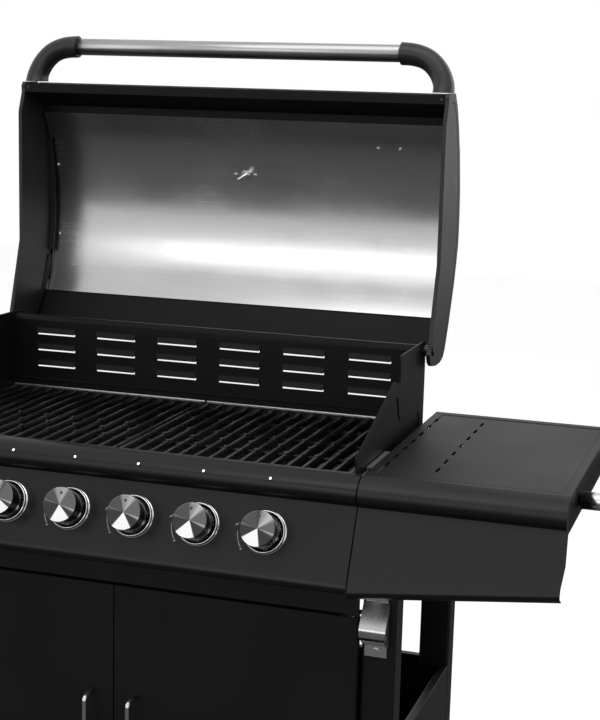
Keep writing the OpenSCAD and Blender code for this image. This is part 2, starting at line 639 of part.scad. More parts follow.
// frame on the skin where the thermometer sits, Z outwards
module thermo_frame() translate([0, nose_y + arc_c[0], nose_z + arc_c[1]])
    rotate([-90 + thermo_a, 0, 0]) translate([0, 0, hood_r]) children();
cap_line = concat(grown([[454, 513], [453, 524], [458, 530.5], [502, 531]]),
    [for (z = [509, 481, 434, 370, 330, 300, 280]) on_arc(hood_r + 1, z)],
    grown([[563, 250], [551, 214], [520, 146], [501, 112], [490, 101], [470, 95.5], [440, 95],
    [412, 99], [398, 107], [392, 120], [404, 132], [442, 257], [442, 480]]));
module hood_cap() {
    color(black) difference() {
        union() {
            along_x(hood_half, cap_out, cap_line);
            // flange under the skin's ends
            along_x(hood_half - 8, hood_half, folded(grown([[540, 430], [548, 395], [552, 350],
                [552.5, 310], [551, 270], [545, 230]]), -2));
        }
        // groove that follows the rim on the outer face
        along_x(cap_out - 1, cap_out + 1, folded(concat(grown([[470, 517], [495, 517]]),
            [for (z = [490, 434, 370, 300]) on_arc(hood_r - 12, z)],
            grown([[549, 250], [537, 214], [507, 150], [488, 118]])), -2.4));
        rod_x(hood_half - 1, cap_out + 1, hinge, hood_pin_r + fit);
    }
}
module hood_cap_left() mirror([1, 0, 0]) hood_cap();
module hood_cap_right() hood_cap();
module hood_trims() color(black) {
    // front lip and the channel behind it
    along_x(-hood_half, hood_half, folded(grown([[505.5, 528.5], [454.5, 528.5], [454.5, 513],
        [518, 494], [523.5, 490.5], [521, 478]]), 1.8));
    // trim between the liner and the rear edge
    along_x(-hood_half, hood_half, folded(grown([[531, 156], [522, 143], [506, 116],
        [492, 108]]), -1.8));
}
// foot of an arm on the hood's rim, and the grip's axis in front of it
foot = grown([[481, 531.5]])[0];
grip = foot + [12, 60.5];
module handle_bar() color(steel) rod_x(-grip_half, grip_half, grip, grip_d / 2);
// stations of an arm: x, behind and above its foot, turn, width, depth
arm = [[288, 12, 60.5, 0, 37, 37], [312, 12, 58.5, 12, 36, 37], [334, 10.5, 50.5, 33, 34.5, 38],
    [351, 8, 34.5, 57, 33, 40], [361, 4, 14.5, 80, 32, 43], [362.5, 0, 0, 90, 32, 47]];
module station(s) translate([s[0], nose_y + foot[0] + s[1], nose_z + foot[1] + s[2]])
    rotate([0, s[3], 0])
    rotate([0, 90, 0]) linear_extrude(0.5)
        offset(r = s[4] / 2 - 1, $fn = 32) square([2, max(2, s[5] - s[4] + 2)], center = true);
module handle_arms() color(black) both() difference() {
    for (i = [0:4]) hull() { station(arm[i]); station(arm[i + 1]); }
    rod_x(grip_half - 20, grip_half, grip, grip_d / 2 + fit);
}
module hood_screws() color(steel) {
    // heads along the liner's edges
    both() for (a = [10.4, -7.1]) translate([361.5, nose_y + arc_c[0], nose_z + arc_c[1]])
        rotate([-90 + a, 0, 0]) translate([0, 0, liner_r - 1.5 - 2.9]) cylinder(r = 3.4, h = 2.6);
    // thermometer nuts and the pair of nuts at the right
    for (q = [[-18, thermo_a], [18, thermo_a], [241, 18], [279, 18]])
        translate([q[0], nose_y + arc_c[0], nose_z + arc_c[1]]) rotate([-90 + q[1], 0, 0])
            translate([0, 0, liner_r - 1.5 - 3.5]) cylinder(r = 3.2, h = 3, $fn = 6);
    // screws at the ends of the front lip
    lip = grown([[454.5, 521]])[0];
    both() translate([366, nose_y + lip[0], nose_z + lip[1]]) rotate([90, 0, 0])
        cylinder(r = 2.2, h = 1);
}
module thermometer() {
    color(chrome) thermo_frame() {
        difference() {
            translate([0, 0, 0.6]) rotate_extrude($fn = 64) polygon([[0, 0], [dial_r - 3, 0],
                [dial_r, 3], [dial_r, 11], [dial_r - 1, 13], [dial_r - 4, 13], [dial_r - 4, 6],
                [0, 6]]);
            translate([0, 0, -1]) cylinder(r = 1.2 + fit, h = 20);
        }
        difference() {
            translate([0, 0, -hood_gap - sheet - 1.5 - 4.5]) cylinder(r = 6, h = hood_gap + sheet + 6.6);
            translate([0, 0, -9]) cylinder(r = 1.2 + fit, h = 20);
        }
        translate([0, 0, -hood_gap - sheet - 1.5 - 4.5]) mirror([0, 0, 1]) cylinder(r = 2.4, h = 34);
        translate([0, 0, -hood_gap - sheet - 1.5 - 3.4]) cylinder(r = 8, h = 3, $fn = 6);
    }
}
module thermo_needle() color([0.8, 0.1, 0.08]) thermo_frame() {
    translate([0, 0, -1]) cylinder(r = 1.2, h = 10);
    rotate([0, 0, 135]) translate([-1, -4, 8]) cube([2, 26, 0.8]);
    translate([0, 0, 8]) cylinder(r = 3, h = 1.2);
}

// ---- grease tray ----
module grease_tray() color(steel) {
    z = floor_z - sheet;
    difference() {
        nbox([-tray_half + 0.5, 48, z - 31.7], [tray_half - 0.5, 412, z - 6]);
        nbox([-tray_half + 2, 49.5, z - 30.2], [tray_half - 2, 410.5, z - 5]);
    }
    // pull at the rear
    nbox([-60, 412, z - 20], [60, 424, z - 18]);
    nbox([-60, 422, z - 26], [60, 424, z - 20]);
}

// ---- casters ----
module caster_mounts() color(zinc) both() {
    // swivel plates at the front, each with its ring and king pin hole
    translate([caster_x, nose_y + caster_y0, 0]) difference() {
        union() {
            box([-32, -32, mount_z - 3], [32, 32, mount_z]);
            translate([0, 0, mount_z - 8]) cylinder(r = 18, h = 5);
        }
        translate([0, 0, mount_z - 20]) cylinder(r = 5 + fit, h = 18.5);
    }
    // fixed forks at the rear
    translate([caster_x, nose_y + caster_y1, 0]) {
        box([-32, -32, mount_z - 3], [32, 32, mount_z]);
        fixed_fork();
    }
}
cheek = wheel_w / 2 + 2;
module fixed_fork() {
    difference() {
        for (s = [-1, 1]) translate([s * (cheek + 1.25), 0, 0]) rotate([90, 0, 90])
            linear_extrude(2.5, center = true) hull() {
                translate([0, wheel_r]) circle(r = 9, $fn = 32);
                translate([-22, mount_z - 5]) square([44, 2]);
            }
        translate([-30, 0, wheel_r]) rotate([0, 90, 0]) cylinder(r = axle_r + 0.02, h = 60);
    }
    axle();
}
module axle() {
    translate([-cheek - 4.5, 0, wheel_r]) rotate([0, 90, 0]) cylinder(r = axle_r, h = 2 * cheek + 9);
    for (s = [-1, 1]) translate([s > 0 ? cheek + 2.5 : -cheek - 4.5, 0, wheel_r]) rotate([0, 90, 0])
        cylinder(r = axle_r + 2.5, h = 2);
}
module fork() color(zinc) translate([caster_x, nose_y + caster_y0, 0]) {
    translate([0, 0, mount_z - 17]) cylinder(r = 5, h = 14);
    translate([0, 0, mount_z - 13]) cylinder(r = 20, h = 4.7);
    box([-cheek - 2.5, -20, mount_z - 16], [cheek + 2.5, 20 + trail / 2, mount_z - 13]);
    difference() {
        for (s = [-1, 1]) translate([s * (cheek + 1.25), 0, 0]) rotate([90, 0, 90])
            linear_extrude(2.5, center = true) hull() {
                translate([trail, wheel_r]) circle(r = 9, $fn = 32);
                translate([-20, mount_z - 18]) square([40 + trail / 2, 2]);
            }
        translate([-30, trail, wheel_r]) rotate([0, 90, 0]) cylinder(r = axle_r + 0.02, h = 60);
    }
    translate([0, trail, 0]) axle();
}
module fork_left() mirror([1, 0, 0]) fork();
module fork_right() fork();
module wheel(y) translate([caster_x, nose_y + y, wheel_r]) rotate([0, 90, 0]) {
    w = wheel_w / 2;
    color([0.08, 0.08, 0.08]) rotate_extrude($fn = 64) polygon([[wheel_r - 8, -w + 3],
        [wheel_r - 2.5, -w], [wheel_r, -w + 5], [wheel_r, w - 5], [wheel_r - 2.5, w],
        [wheel_r - 8, w - 3], [wheel_r - 9, w - 8], [14, w - 8], [12, w], [axle_r + fit, w],
        [axle_r + fit, -w], [12, -w], [14, -w + 8], [wheel_r - 9, -w + 8]]);
}
module wheel_front_left() mirror([1, 0, 0]) wheel(caster_y0 + trail);
module wheel_front_right() wheel(caster_y0 + trail);
module wheel_rear_left() mirror([1, 0, 0]) wheel(caster_y1);
module wheel_rear_right() wheel(caster_y1);

// draw the chosen node
firebox_left();
firebox_right();
firebox_front();
firebox_rear();
firebox_floor();
burners();
flame_tamers();
grate_left();
grate_right();
control_panel();
led_lights();
knob_bezels();
gas_valves();
gas_manifold();
knob_1();
knob_2();
knob_3();
knob_4();
knob_5();
knob_6();
valve_core_1();
valve_core_2();
valve_core_3();
valve_core_4();
valve_core_5();
valve_core_6();
table_left();
table_right();
side_fascias();
towel_rails();
legs();
side_panels();
rear_panel();
base_shelf();
front_rail();
body_brackets();
door_left();
door_right();
door_handle_left();
door_handle_right();
hinge_pins();
bottle_opener();
hood_skin();
hood_liner();
hood_cap_left();
hood_cap_right();
hood_trims();
handle_bar();
handle_arms();
hood_screws();
thermometer();
thermo_needle();
grease_tray();
caster_mounts();
fork_left();
fork_right();
wheel_front_left();
wheel_front_right();
wheel_rear_left();
wheel_rear_right();
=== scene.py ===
"""Finish and fine shape of a free-standing gas barbecue grill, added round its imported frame."""

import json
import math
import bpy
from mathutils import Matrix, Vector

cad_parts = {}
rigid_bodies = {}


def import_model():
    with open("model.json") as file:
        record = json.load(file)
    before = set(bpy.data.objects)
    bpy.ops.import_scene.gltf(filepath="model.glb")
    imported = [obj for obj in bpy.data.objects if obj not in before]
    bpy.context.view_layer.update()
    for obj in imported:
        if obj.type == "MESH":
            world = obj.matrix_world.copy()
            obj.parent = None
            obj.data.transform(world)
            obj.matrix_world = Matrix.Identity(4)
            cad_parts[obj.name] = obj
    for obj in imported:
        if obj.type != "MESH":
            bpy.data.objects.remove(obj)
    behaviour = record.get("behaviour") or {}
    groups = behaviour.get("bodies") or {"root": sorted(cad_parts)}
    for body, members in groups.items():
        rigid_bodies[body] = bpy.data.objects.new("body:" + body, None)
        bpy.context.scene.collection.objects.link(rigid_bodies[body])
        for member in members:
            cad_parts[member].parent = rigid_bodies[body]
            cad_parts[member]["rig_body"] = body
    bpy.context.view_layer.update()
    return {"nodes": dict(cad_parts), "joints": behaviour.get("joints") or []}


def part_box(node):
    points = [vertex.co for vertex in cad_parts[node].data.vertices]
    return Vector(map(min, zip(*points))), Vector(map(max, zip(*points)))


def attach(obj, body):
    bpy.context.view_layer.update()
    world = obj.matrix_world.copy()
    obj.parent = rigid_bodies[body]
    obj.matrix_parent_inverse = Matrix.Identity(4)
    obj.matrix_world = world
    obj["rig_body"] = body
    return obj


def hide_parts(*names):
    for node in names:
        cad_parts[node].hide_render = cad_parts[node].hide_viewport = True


bl_info = {
    "name": "Gas barbecue grill",
    "version": (1, 0, 0),
    "blender": (4, 5, 0),
    "location": "View3D > Sidebar > Grill",
    "description": "Dresses the frame of a gas barbecue grill and sets up its studio",
    "category": "Add Mesh",
}

import bmesh
import bpy
from bpy.props import FloatProperty, FloatVectorProperty, IntProperty, PointerProperty
from mathutils import Matrix, Vector

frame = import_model()
JOINTS = {joint["name"]: joint for joint in frame["joints"]}
KNOBS = range(1, 7)
SIDES = ("left", "right")
# where the camera stands in metres, with Y counted from the hood's hinge, and its turn, tilt and
# roll in degrees
CAMERA_PLACE = (0.9133, -2.3506, 1.4144)
CAMERA_ANGLES = (17.9, -10.49, 1.52)


# ---- sizes and colours ----


class GrillSizes(bpy.types.PropertyGroup):
    fold_round: FloatProperty(
        name="Fold rounding", description="Rounding of a sheet's folds and edges",
        default=0.0011, min=0.0002, max=0.003, subtype="DISTANCE", unit="LENGTH")
    rim_round: FloatProperty(
        name="Rim rounding", description="Rounding of the folds and rims of a pierced sheet",
        default=0.00077, min=0.0002, max=0.003, subtype="DISTANCE", unit="LENGTH")
    skin_round: FloatProperty(
        name="Skin rounding", description="Rounding of the edges of the hood's skin",
        default=0.00066, min=0.0002, max=0.003, subtype="DISTANCE", unit="LENGTH")
    casting_round: FloatProperty(
        name="Casting rounding", description="Rounding of a cast or thick part's edges",
        default=0.0016, min=0.0004, max=0.004, subtype="DISTANCE", unit="LENGTH")
    grate_round: FloatProperty(
        name="Enamel rounding", description="Rounding that enamel gives a grate's bars",
        default=0.0014, min=0.0004, max=0.003, subtype="DISTANCE", unit="LENGTH")
    knob_radius: FloatProperty(
        name="Knob radius", description="Radius of a control knob's face",
        default=0.0255, min=0.02, max=0.03, subtype="DISTANCE", unit="LENGTH")
    knob_height: FloatProperty(
        name="Knob height", description="Height of a knob's face above the panel",
        default=0.04, min=0.03, max=0.06, subtype="DISTANCE", unit="LENGTH")
    bezel_radius: FloatProperty(
        name="Bezel radius", description="Outer radius of the ring round a knob",
        default=0.032, min=0.027, max=0.036, subtype="DISTANCE", unit="LENGTH")
    turned_steps: IntProperty(
        name="Turned steps", description="Faces round a turned piece", default=96, min=24, max=192)
    lens: FloatProperty(
        name="Lens", description="Focal length of the camera, in millimetres",
        default=75.87, min=20, max=200)


class GrillColours(bpy.types.PropertyGroup):
    paint: FloatVectorProperty(
        name="Paint", description="Black powder coat of the sheets", subtype="COLOR",
        default=(0.0052, 0.0052, 0.0054), min=0, max=1)
    casting: FloatVectorProperty(
        name="Casting paint", description="Black paint of the hood's cast ends", subtype="COLOR",
        default=(0.011, 0.011, 0.0114), min=0, max=1)
    plastic: FloatVectorProperty(
        name="Plastic", description="Black moulded plastic of the handle's arms", subtype="COLOR",
        default=(0.014, 0.014, 0.0144), min=0, max=1)
    enamel: FloatVectorProperty(
        name="Enamel", description="Glossy black enamel of the grates", subtype="COLOR",
        default=(0.004, 0.004, 0.0042), min=0, max=1)
    steel: FloatVectorProperty(
        name="Stainless steel", description="Brushed stainless steel", subtype="COLOR",
        default=(0.58, 0.58, 0.585), min=0, max=1)
    aluminium: FloatVectorProperty(
        name="Aluminium", description="Turned faces of the knobs", subtype="COLOR",
        default=(0.62, 0.62, 0.625), min=0, max=1)
    chrome: FloatVectorProperty(
        name="Chrome", description="Polished rings and rims", subtype="COLOR",
        default=(0.70, 0.70, 0.71), min=0, max=1)
    brass: FloatVectorProperty(
        name="Brass", description="Valves and their cores", subtype="COLOR",
        default=(0.60, 0.43, 0.18), min=0, max=1)
    zinc: FloatVectorProperty(
        name="Zinc", description="Zinc plated brackets, pins and casters", subtype="COLOR",
        default=(0.46, 0.47, 0.48), min=0, max=1)
    rubber: FloatVectorProperty(
        name="Rubber", description="Tyres of the casters", subtype="COLOR",
        default=(0.02, 0.02, 0.02), min=0, max=1)
    hub: FloatVectorProperty(
        name="Hub", description="Plastic hubs of the casters", subtype="COLOR",
        default=(0.06, 0.06, 0.062), min=0, max=1)
    dial: FloatVectorProperty(
        name="Dial", description="Face of the thermometer", subtype="COLOR",
        default=(0.80, 0.79, 0.76), min=0, max=1)
    needle: FloatVectorProperty(
        name="Needle", description="Needle of the thermometer", subtype="COLOR",
        default=(0.50, 0.03, 0.02), min=0, max=1)
    marking: FloatVectorProperty(
        name="Marking", description="Marks printed round the knobs", subtype="COLOR",
        default=(0.34, 0.34, 0.34), min=0, max=1)
    lamp: FloatVectorProperty(
        name="Lamp", description="Light of the small lamps over the knobs", subtype="COLOR",
        default=(0.97, 0.98, 1.0), min=0, max=1)


class GrillStudio(bpy.types.PropertyGroup):
    floor: FloatVectorProperty(
        name="Floor", description="Pale floor under the grill", subtype="COLOR",
        default=(0.86, 0.86, 0.86), min=0, max=1)
    cloth: FloatVectorProperty(
        name="Cloth", description="Dark cloth on the floor that only polished metal shows",
        subtype="COLOR", default=(0.15, 0.15, 0.15), min=0, max=1)
    floor_glow: FloatProperty(
        name="Floor glow", description="Light of the floor itself where it is looked at",
        default=0.62, min=0, max=1)
    ambient: FloatProperty(
        name="Ambient", description="Strength of the light from all round", default=0.42,
        min=0, max=2)
    top_light: FloatProperty(
        name="Top light", description="Power of the soft box overhead", default=32, min=0, max=500,
        unit="POWER")
    strip_light: FloatProperty(
        name="Strip light", description="Power of the long soft box in front", default=36, min=0,
        max=500, unit="POWER")
    side_light: FloatProperty(
        name="Side light", description="Power of the soft box at the left", default=14, min=0,
        max=500, unit="POWER")


def sizes():
    return bpy.context.scene.grill_sizes


def colours():
    return bpy.context.scene.grill_colours


def studio():
    return bpy.context.scene.grill_studio


# ---- node groups that several finishes share ----


def new_group(name, inputs, outputs):
    """A shader node group with float, colour and vector sockets, and its two end nodes."""
    kinds = {"value": "NodeSocketFloat", "colour": "NodeSocketColor", "vector": "NodeSocketVector"}
    group = bpy.data.node_groups.new(name, "ShaderNodeTree")
    for label, kind, default in inputs:
        socket = group.interface.new_socket(label, in_out="INPUT", socket_type=kinds[kind])
        socket.default_value = default
    for label, kind in outputs:
        group.interface.new_socket(label, in_out="OUTPUT", socket_type=kinds[kind])
    return group, group.nodes.new("NodeGroupInput"), group.nodes.new("NodeGroupOutput")


def add(tree, kind, **settings):
    node = tree.nodes.new(kind)
    for key, value in settings.items():
        setattr(node, key, value)
    return node


def math_node(tree, operation, first, second=None, clamp=False):
    """A Math node whose inputs are sockets or numbers; returns its output."""
    node = add(tree, "ShaderNodeMath", operation=operation, use_clamp=clamp)
    for socket, value in zip(node.inputs, (first, second)):
        if value is None:
            continue
        if isinstance(value, (int, float)):
            socket.default_value = value
        else:
            tree.links.new(value, socket)
    return node.outputs[0]


def noise(tree, vector, scale, detail=2.0, roughness=0.5):
    node = add(tree, "ShaderNodeTexNoise")
    node.inputs["Scale"].default_value = 1.0
    node.inputs["Detail"].default_value = detail
    node.inputs["Roughness"].default_value = roughness
    stretch = add(tree, "ShaderNodeVectorMath", operation="MULTIPLY")
    tree.links.new(vector, stretch.inputs[0])
    if isinstance(scale, (int, float)):
        stretch.inputs[1].default_value = (scale, scale, scale)
    else:
        tree.links.new(scale, stretch.inputs[1])
    tree.links.new(stretch.outputs[0], node.inputs["Vector"])
    return node.outputs["Fac"]


def spread(tree, value, low, high):
    """Maps the middle of a noise, 0.3 to 0.7, to low to high."""
    node = add(tree, "ShaderNodeMapRange", clamp=True)
    tree.links.new(value, node.inputs["Value"])
    node.inputs["From Min"].default_value = 0.3
    node.inputs["From Max"].default_value = 0.7
    for label, bound in (("To Min", low), ("To Max", high)):
        if isinstance(bound, (int, float)):
            node.inputs[label].default_value = bound
        else:
            tree.links.new(bound, node.inputs[label])
    return node.outputs["Result"]


def shaded(tree, colour, factor):
    """A colour made lighter or darker by a factor."""
    node = add(tree, "ShaderNodeVectorMath", operation="SCALE")
    tree.links.new(colour, node.inputs[0])
    tree.links.new(factor, node.inputs["Scale"])
    return node.outputs[0]


def evenly(tree, size):
    """The same scale along all three axes."""
    node = add(tree, "ShaderNodeCombineXYZ")
    for axis in range(3):
        tree.links.new(size, node.inputs[axis])
    return node.outputs[0]


def vary(group, ins, outs, *patterns):
    """Varies the group's colour and roughness by two patterns.

    Each pattern gives a noise, the factors it puts on the colour and what it adds to the roughness.
    """
    tones = [spread(group, value, low, high) for value, low, high, *_ in patterns]
    sheens = [spread(group, value, low, high) for value, *_, low, high in patterns]
    tone = math_node(group, "MULTIPLY", *tones)
    group.links.new(shaded(group, ins.outputs["Colour"], tone), outs.inputs["Colour"])
    sheen = math_node(group, "ADD", *sheens)
    rough = math_node(group, "ADD", ins.outputs["Roughness"], sheen, clamp=True)
    group.links.new(rough, outs.inputs["Roughness"])


def coat_group():
    """Powder coat: a fine orange peel, faint clouds of sheen and specks in the colour."""
    group, ins, outs = new_group(
        "Powder coat",
        (("Vector", "vector", (0, 0, 0)), ("Colour", "colour", (0, 0, 0, 1)),
         ("Roughness", "value", 0.4), ("Peel size", "value", 900.0), ("Cloud size", "value", 7.0)),
        (("Colour", "colour"), ("Roughness", "value"), ("Height", "value")))
    cloud = noise(group, ins.outputs["Vector"], evenly(group, ins.outputs["Cloud size"]), 3.0)
    peel = noise(group, ins.outputs["Vector"], evenly(group, ins.outputs["Peel size"]), 2.0, 0.6)
    vary(group, ins, outs, (cloud, 0.9, 1.1, -0.03, 0.03), (peel, 0.86, 1.16, -0.04, 0.04))
    group.links.new(peel, outs.inputs["Height"])
    return group


def brushed_group():
    """Brushed metal: streaks along one direction, with clouds where it has been wiped."""
    group, ins, outs = new_group(
        "Brushed metal",
        (("Vector", "vector", (0, 0, 0)), ("Colour", "colour", (0.6, 0.6, 0.6, 1)),
         ("Roughness", "value", 0.3), ("Streaks", "vector", (4, 900, 900)),
         ("Cloud size", "value", 9.0), ("Cloud depth", "value", 0.08)),
        (("Colour", "colour"), ("Roughness", "value"), ("Height", "value")))
    streak = noise(group, ins.outputs["Vector"], ins.outputs["Streaks"], 3.0, 0.65)
    cloud = noise(group, ins.outputs["Vector"], evenly(group, ins.outputs["Cloud size"]), 4.0)
    low = math_node(group, "SUBTRACT", 1.0, ins.outputs["Cloud depth"])
    high = math_node(group, "ADD", 1.0, ins.outputs["Cloud depth"])
    vary(group, ins, outs, (cloud, low, high, -0.04, 0.05), (streak, 0.93, 1.06, -0.03, 0.03))
    group.links.new(streak, outs.inputs["Height"])
    return group


def worn_group():
    """Plain metal or moulding: fine mottling with a few darker stains."""
    group, ins, outs = new_group(
        "Mottling",
        (("Vector", "vector", (0, 0, 0)), ("Colour", "colour", (0.5, 0.5, 0.5, 1)),
         ("Roughness", "value", 0.4), ("Grain size", "value", 300.0),
         ("Stain depth", "value", 0.2)),
        (("Colour", "colour"), ("Roughness", "value"), ("Height", "value")))
    grain = noise(group, ins.outputs["Vector"], evenly(group, ins.outputs["Grain size"]), 3.0)
    stain = noise(group, ins.outputs["Vector"], 22.0, 5.0, 0.6)
    low = math_node(group, "SUBTRACT", 1.0, ins.outputs["Stain depth"])
    vary(group, ins, outs, (stain, low, 1.05, 0.08, -0.04), (grain, 0.94, 1.05, -0.04, 0.04))
    group.links.new(grain, outs.inputs["Height"])
    return group


def painted_fan(tree, angle, centre, half, soft, gain):
    """A painted fan of light round an angle, in degrees, that fades over soft degrees at its edges.
    """
    offset = math_node(tree, "SUBTRACT", angle, math.radians(centre))
    wrapped = add(tree, "ShaderNodeMath", operation="WRAP")
    tree.links.new(offset, wrapped.inputs[0])
    wrapped.inputs[1].default_value = math.pi
    wrapped.inputs[2].default_value = -math.pi
    away = math_node(tree, "ABSOLUTE", wrapped.outputs[0])
    fade = add(tree, "ShaderNodeMapRange", interpolation_type="SMOOTHSTEP")
    tree.links.new(away, fade.inputs["Value"])
    for label, value in (("From Min", math.radians(half)), ("From Max", math.radians(half + soft)),
                         ("To Min", gain), ("To Max", 0.0)):
        fade.inputs[label].default_value = value
    return fade.outputs["Result"]


# painted highlights: fans of light painted into the colour of a turned face and a polished skirt;
# for each: angle, half width and fade in degrees, gain, and whether the fan turns from knob to knob
PAINTED_HIGHLIGHTS = {
    "Painted highlights on turned face": (
        (-78, 31, 7, 1.3, True), (92, 16, 20, 0.34, True), (80, 3, 16, 0.16, True),
        (-15, 1.5, 5, 0.34, False), (168, 1.5, 6, 0.12, False), (24, 32, 22, 0.13, False),
        (130, 20, 24, 0.06, False)),
    "Painted highlights on polished skirt": (
        (-22, 3, 9, 0.6, False), (-78, 4, 16, 0.16, False), (20, 3, 12, 0.14, False),
        (150, 5, 14, 0.2, False)),
}


def painted_highlight_group(name):
    """Turned or polished metal round an axis: highlights painted into its colour as fans of light,
    across fine rings.
    """
    group, ins, outs = new_group(
        name,
        (("Vector", "vector", (0, 0, 0)), ("Colour", "colour", (0.6, 0.6, 0.6, 1)),
         ("Roughness", "value", 0.3), ("Shade", "value", 0.1), ("Ring depth", "value", 0.1),
         ("Turn", "value", 0.0)),
        (("Colour", "colour"), ("Roughness", "value"), ("Height", "value")))
    split = add(group, "ShaderNodeSeparateXYZ")
    group.links.new(ins.outputs["Vector"], split.inputs[0])
    angle = math_node(group, "ARCTAN2", split.outputs["Y"], split.outputs["X"])
    radius = add(group, "ShaderNodeVectorMath", operation="LENGTH")
    group.links.new(ins.outputs["Vector"], radius.inputs[0])
    # the painted shade: the tone where no painted fan of light falls
    painted_light = ins.outputs["Shade"]
    turned_angle = math_node(group, "ADD", angle, ins.outputs["Turn"])
    for *fan, turns in PAINTED_HIGHLIGHTS[name]:
        painted_light = math_node(group, "ADD", painted_light, painted_fan(group, turned_angle if turns else angle, *fan))
    line = add(group, "ShaderNodeCombineXYZ")
    group.links.new(radius.outputs["Value"], line.inputs[0])
    rings = noise(group, line.outputs[0], 90.0, 4.0, 0.7)
    low = math_node(group, "SUBTRACT", 1.0, ins.outputs["Ring depth"])
    high = math_node(group, "ADD", 1.0, ins.outputs["Ring depth"])
    tone = math_node(group, "MULTIPLY", painted_light, spread(group, rings, low, high))
    group.links.new(shaded(group, ins.outputs["Colour"], tone), outs.inputs["Colour"])
    sheen = spread(group, rings, -0.04, 0.04)
    rough = math_node(group, "ADD", ins.outputs["Roughness"], sheen, clamp=True)
    group.links.new(rough, outs.inputs["Roughness"])
    group.links.new(rings, outs.inputs["Height"])
    return group


GROUPS = {}


def shared(name):
    """The named node group, made once."""
    makers = {"Powder coat": coat_group, "Brushed metal": brushed_group, "Mottling": worn_group}
    if name not in GROUPS:
        GROUPS[name] = painted_highlight_group(name) if name in PAINTED_HIGHLIGHTS else makers[name]()
    return GROUPS[name]


# ---- finishes ----


def finish(name, group, colour, values, bump=0.0, space="Object", **constants):
    """A material whose colour, roughness and bump come from one of the shared groups."""
    if name in bpy.data.materials:
        return bpy.data.materials[name]
    material = bpy.data.materials.new(name)
    material.use_nodes = True
    tree = material.node_tree
    shader = tree.nodes["Principled BSDF"]
    place = add(tree, "ShaderNodeTexCoord")
    effect = add(tree, "ShaderNodeGroup", node_tree=shared(group))
    tree.links.new(place.outputs[space], effect.inputs["Vector"])
    effect.inputs["Colour"].default_value = (*colour, 1)
    for label, value in values.items():
        effect.inputs[label].default_value = value
    tree.links.new(effect.outputs["Colour"], shader.inputs["Base Color"])
    tree.links.new(effect.outputs["Roughness"], shader.inputs["Roughness"])
    if bump:
        dent = add(tree, "ShaderNodeBump")
        dent.inputs["Strength"].default_value = 1.0
        dent.inputs["Distance"].default_value = bump
        tree.links.new(effect.outputs["Height"], dent.inputs["Height"])
        tree.links.new(dent.outputs["Normal"], shader.inputs["Normal"])
    for label, value in constants.items():
        shader.inputs[label.replace("_", " ")].default_value = value
    material.diffuse_color = (*colour, 1)
    return material


def painted_sheet():
    return finish("Black powder coat", "Powder coat", colours().paint,
                  {"Roughness": 0.4, "Peel size": 850.0, "Cloud size": 6.0}, bump=0.00003,
                  Specular_IOR_Level=0.27)


def satin_sheet():
    """The control panel's coat, a little glossier than the cabinet's."""
    return finish("Satin powder coat", "Powder coat", colours().paint,
                  {"Roughness": 0.31, "Peel size": 850.0, "Cloud size": 6.0}, bump=0.00003,
                  Specular_IOR_Level=0.25)


def matt_sheet():
    """The coat of the tables and the firebox, which handling and heat have left duller."""
    return finish("Matt powder coat", "Powder coat", colours().paint,
                  {"Roughness": 0.46, "Peel size": 850.0, "Cloud size": 5.0}, bump=0.00003,
                  Specular_IOR_Level=0.12)


def painted_casting():
    return finish("Black painted casting", "Powder coat", colours().casting,
                  {"Roughness": 0.46, "Peel size": 600.0, "Cloud size": 10.0}, bump=0.00007,
                  Specular_IOR_Level=0.34)


def moulded_plastic():
    return finish("Black moulded plastic", "Powder coat", colours().plastic,
                  {"Roughness": 0.36, "Peel size": 1400.0, "Cloud size": 20.0}, bump=0.00003,
                  Specular_IOR_Level=0.36)


def enamel():
    return finish("Black enamel", "Powder coat", colours().enamel,
                  {"Roughness": 0.3, "Peel size": 160.0, "Cloud size": 30.0}, bump=0.00012,
                  Specular_IOR_Level=0.5, Coat_Weight=0.3, Coat_Roughness=0.16)


def worn_iron():
    """The tops of the grates' studs, where tools have worn the enamel."""
    return finish("Worn iron", "Mottling", part_of(colours().zinc, 0.42),
                  {"Roughness": 0.28, "Grain size": 400.0, "Stain depth": 0.4}, bump=0.00003,
                  Metallic=1.0)


def part_of(colour, share):
    """A colour made darker: the given share of each of its parts."""
    return tuple(share * part for part in colour)


def brushed_steel(direction, name, roughness, depth, bump=0.000012, colour=None, fine=1.0):
    """Steel with streaks along one axis; depth is the strength of its clouds."""
    along, across = 3.0 * fine, 1100.0 * fine
    streaks = {"X": (along, across, across), "Y": (across, along, across),
               "Z": (across, across, along)}
    return finish(f"{name} {direction}", "Brushed metal", colour or colours().steel,
                  {"Roughness": roughness, "Streaks": streaks[direction], "Cloud depth": depth},
                  bump=bump, Metallic=1.0)


def zinc_plate():
    return finish("Zinc plate", "Mottling", colours().zinc,
                  {"Roughness": 0.38, "Grain size": 180.0, "Stain depth": 0.18}, bump=0.00002,
                  Metallic=1.0)


def machined_brass():
    return finish("Machined brass", "Mottling", colours().brass,
                  {"Roughness": 0.3, "Grain size": 500.0, "Stain depth": 0.25}, bump=0.00001,
                  Metallic=1.0)


def polished_chrome():
    return finish("Polished chrome", "Mottling", colours().chrome,
                  {"Roughness": 0.1, "Grain size": 700.0, "Stain depth": 0.04}, Metallic=1.0)


def turned_face(knob):
    """Each knob's painted fans of light are turned a little further than its left neighbour's."""
    return finish(f"Turned face of knob {knob}", "Painted highlights on turned face", colours().aluminium,
                  {"Roughness": 0.24, "Shade": 0.075, "Ring depth": 0.24,
                   "Turn": math.radians(11 * (knob - 3))}, bump=0.000006, space="UV", Metallic=1.0)


def polished_skirt():
    # the skirt's highlights are painted into its colour as fans of light round its axis
    return finish("Knob skirt with painted highlights", "Painted highlights on polished skirt", colours().chrome,
                  {"Roughness": 0.16, "Shade": 0.045, "Ring depth": 0.05}, space="UV",
                  Metallic=1.0)


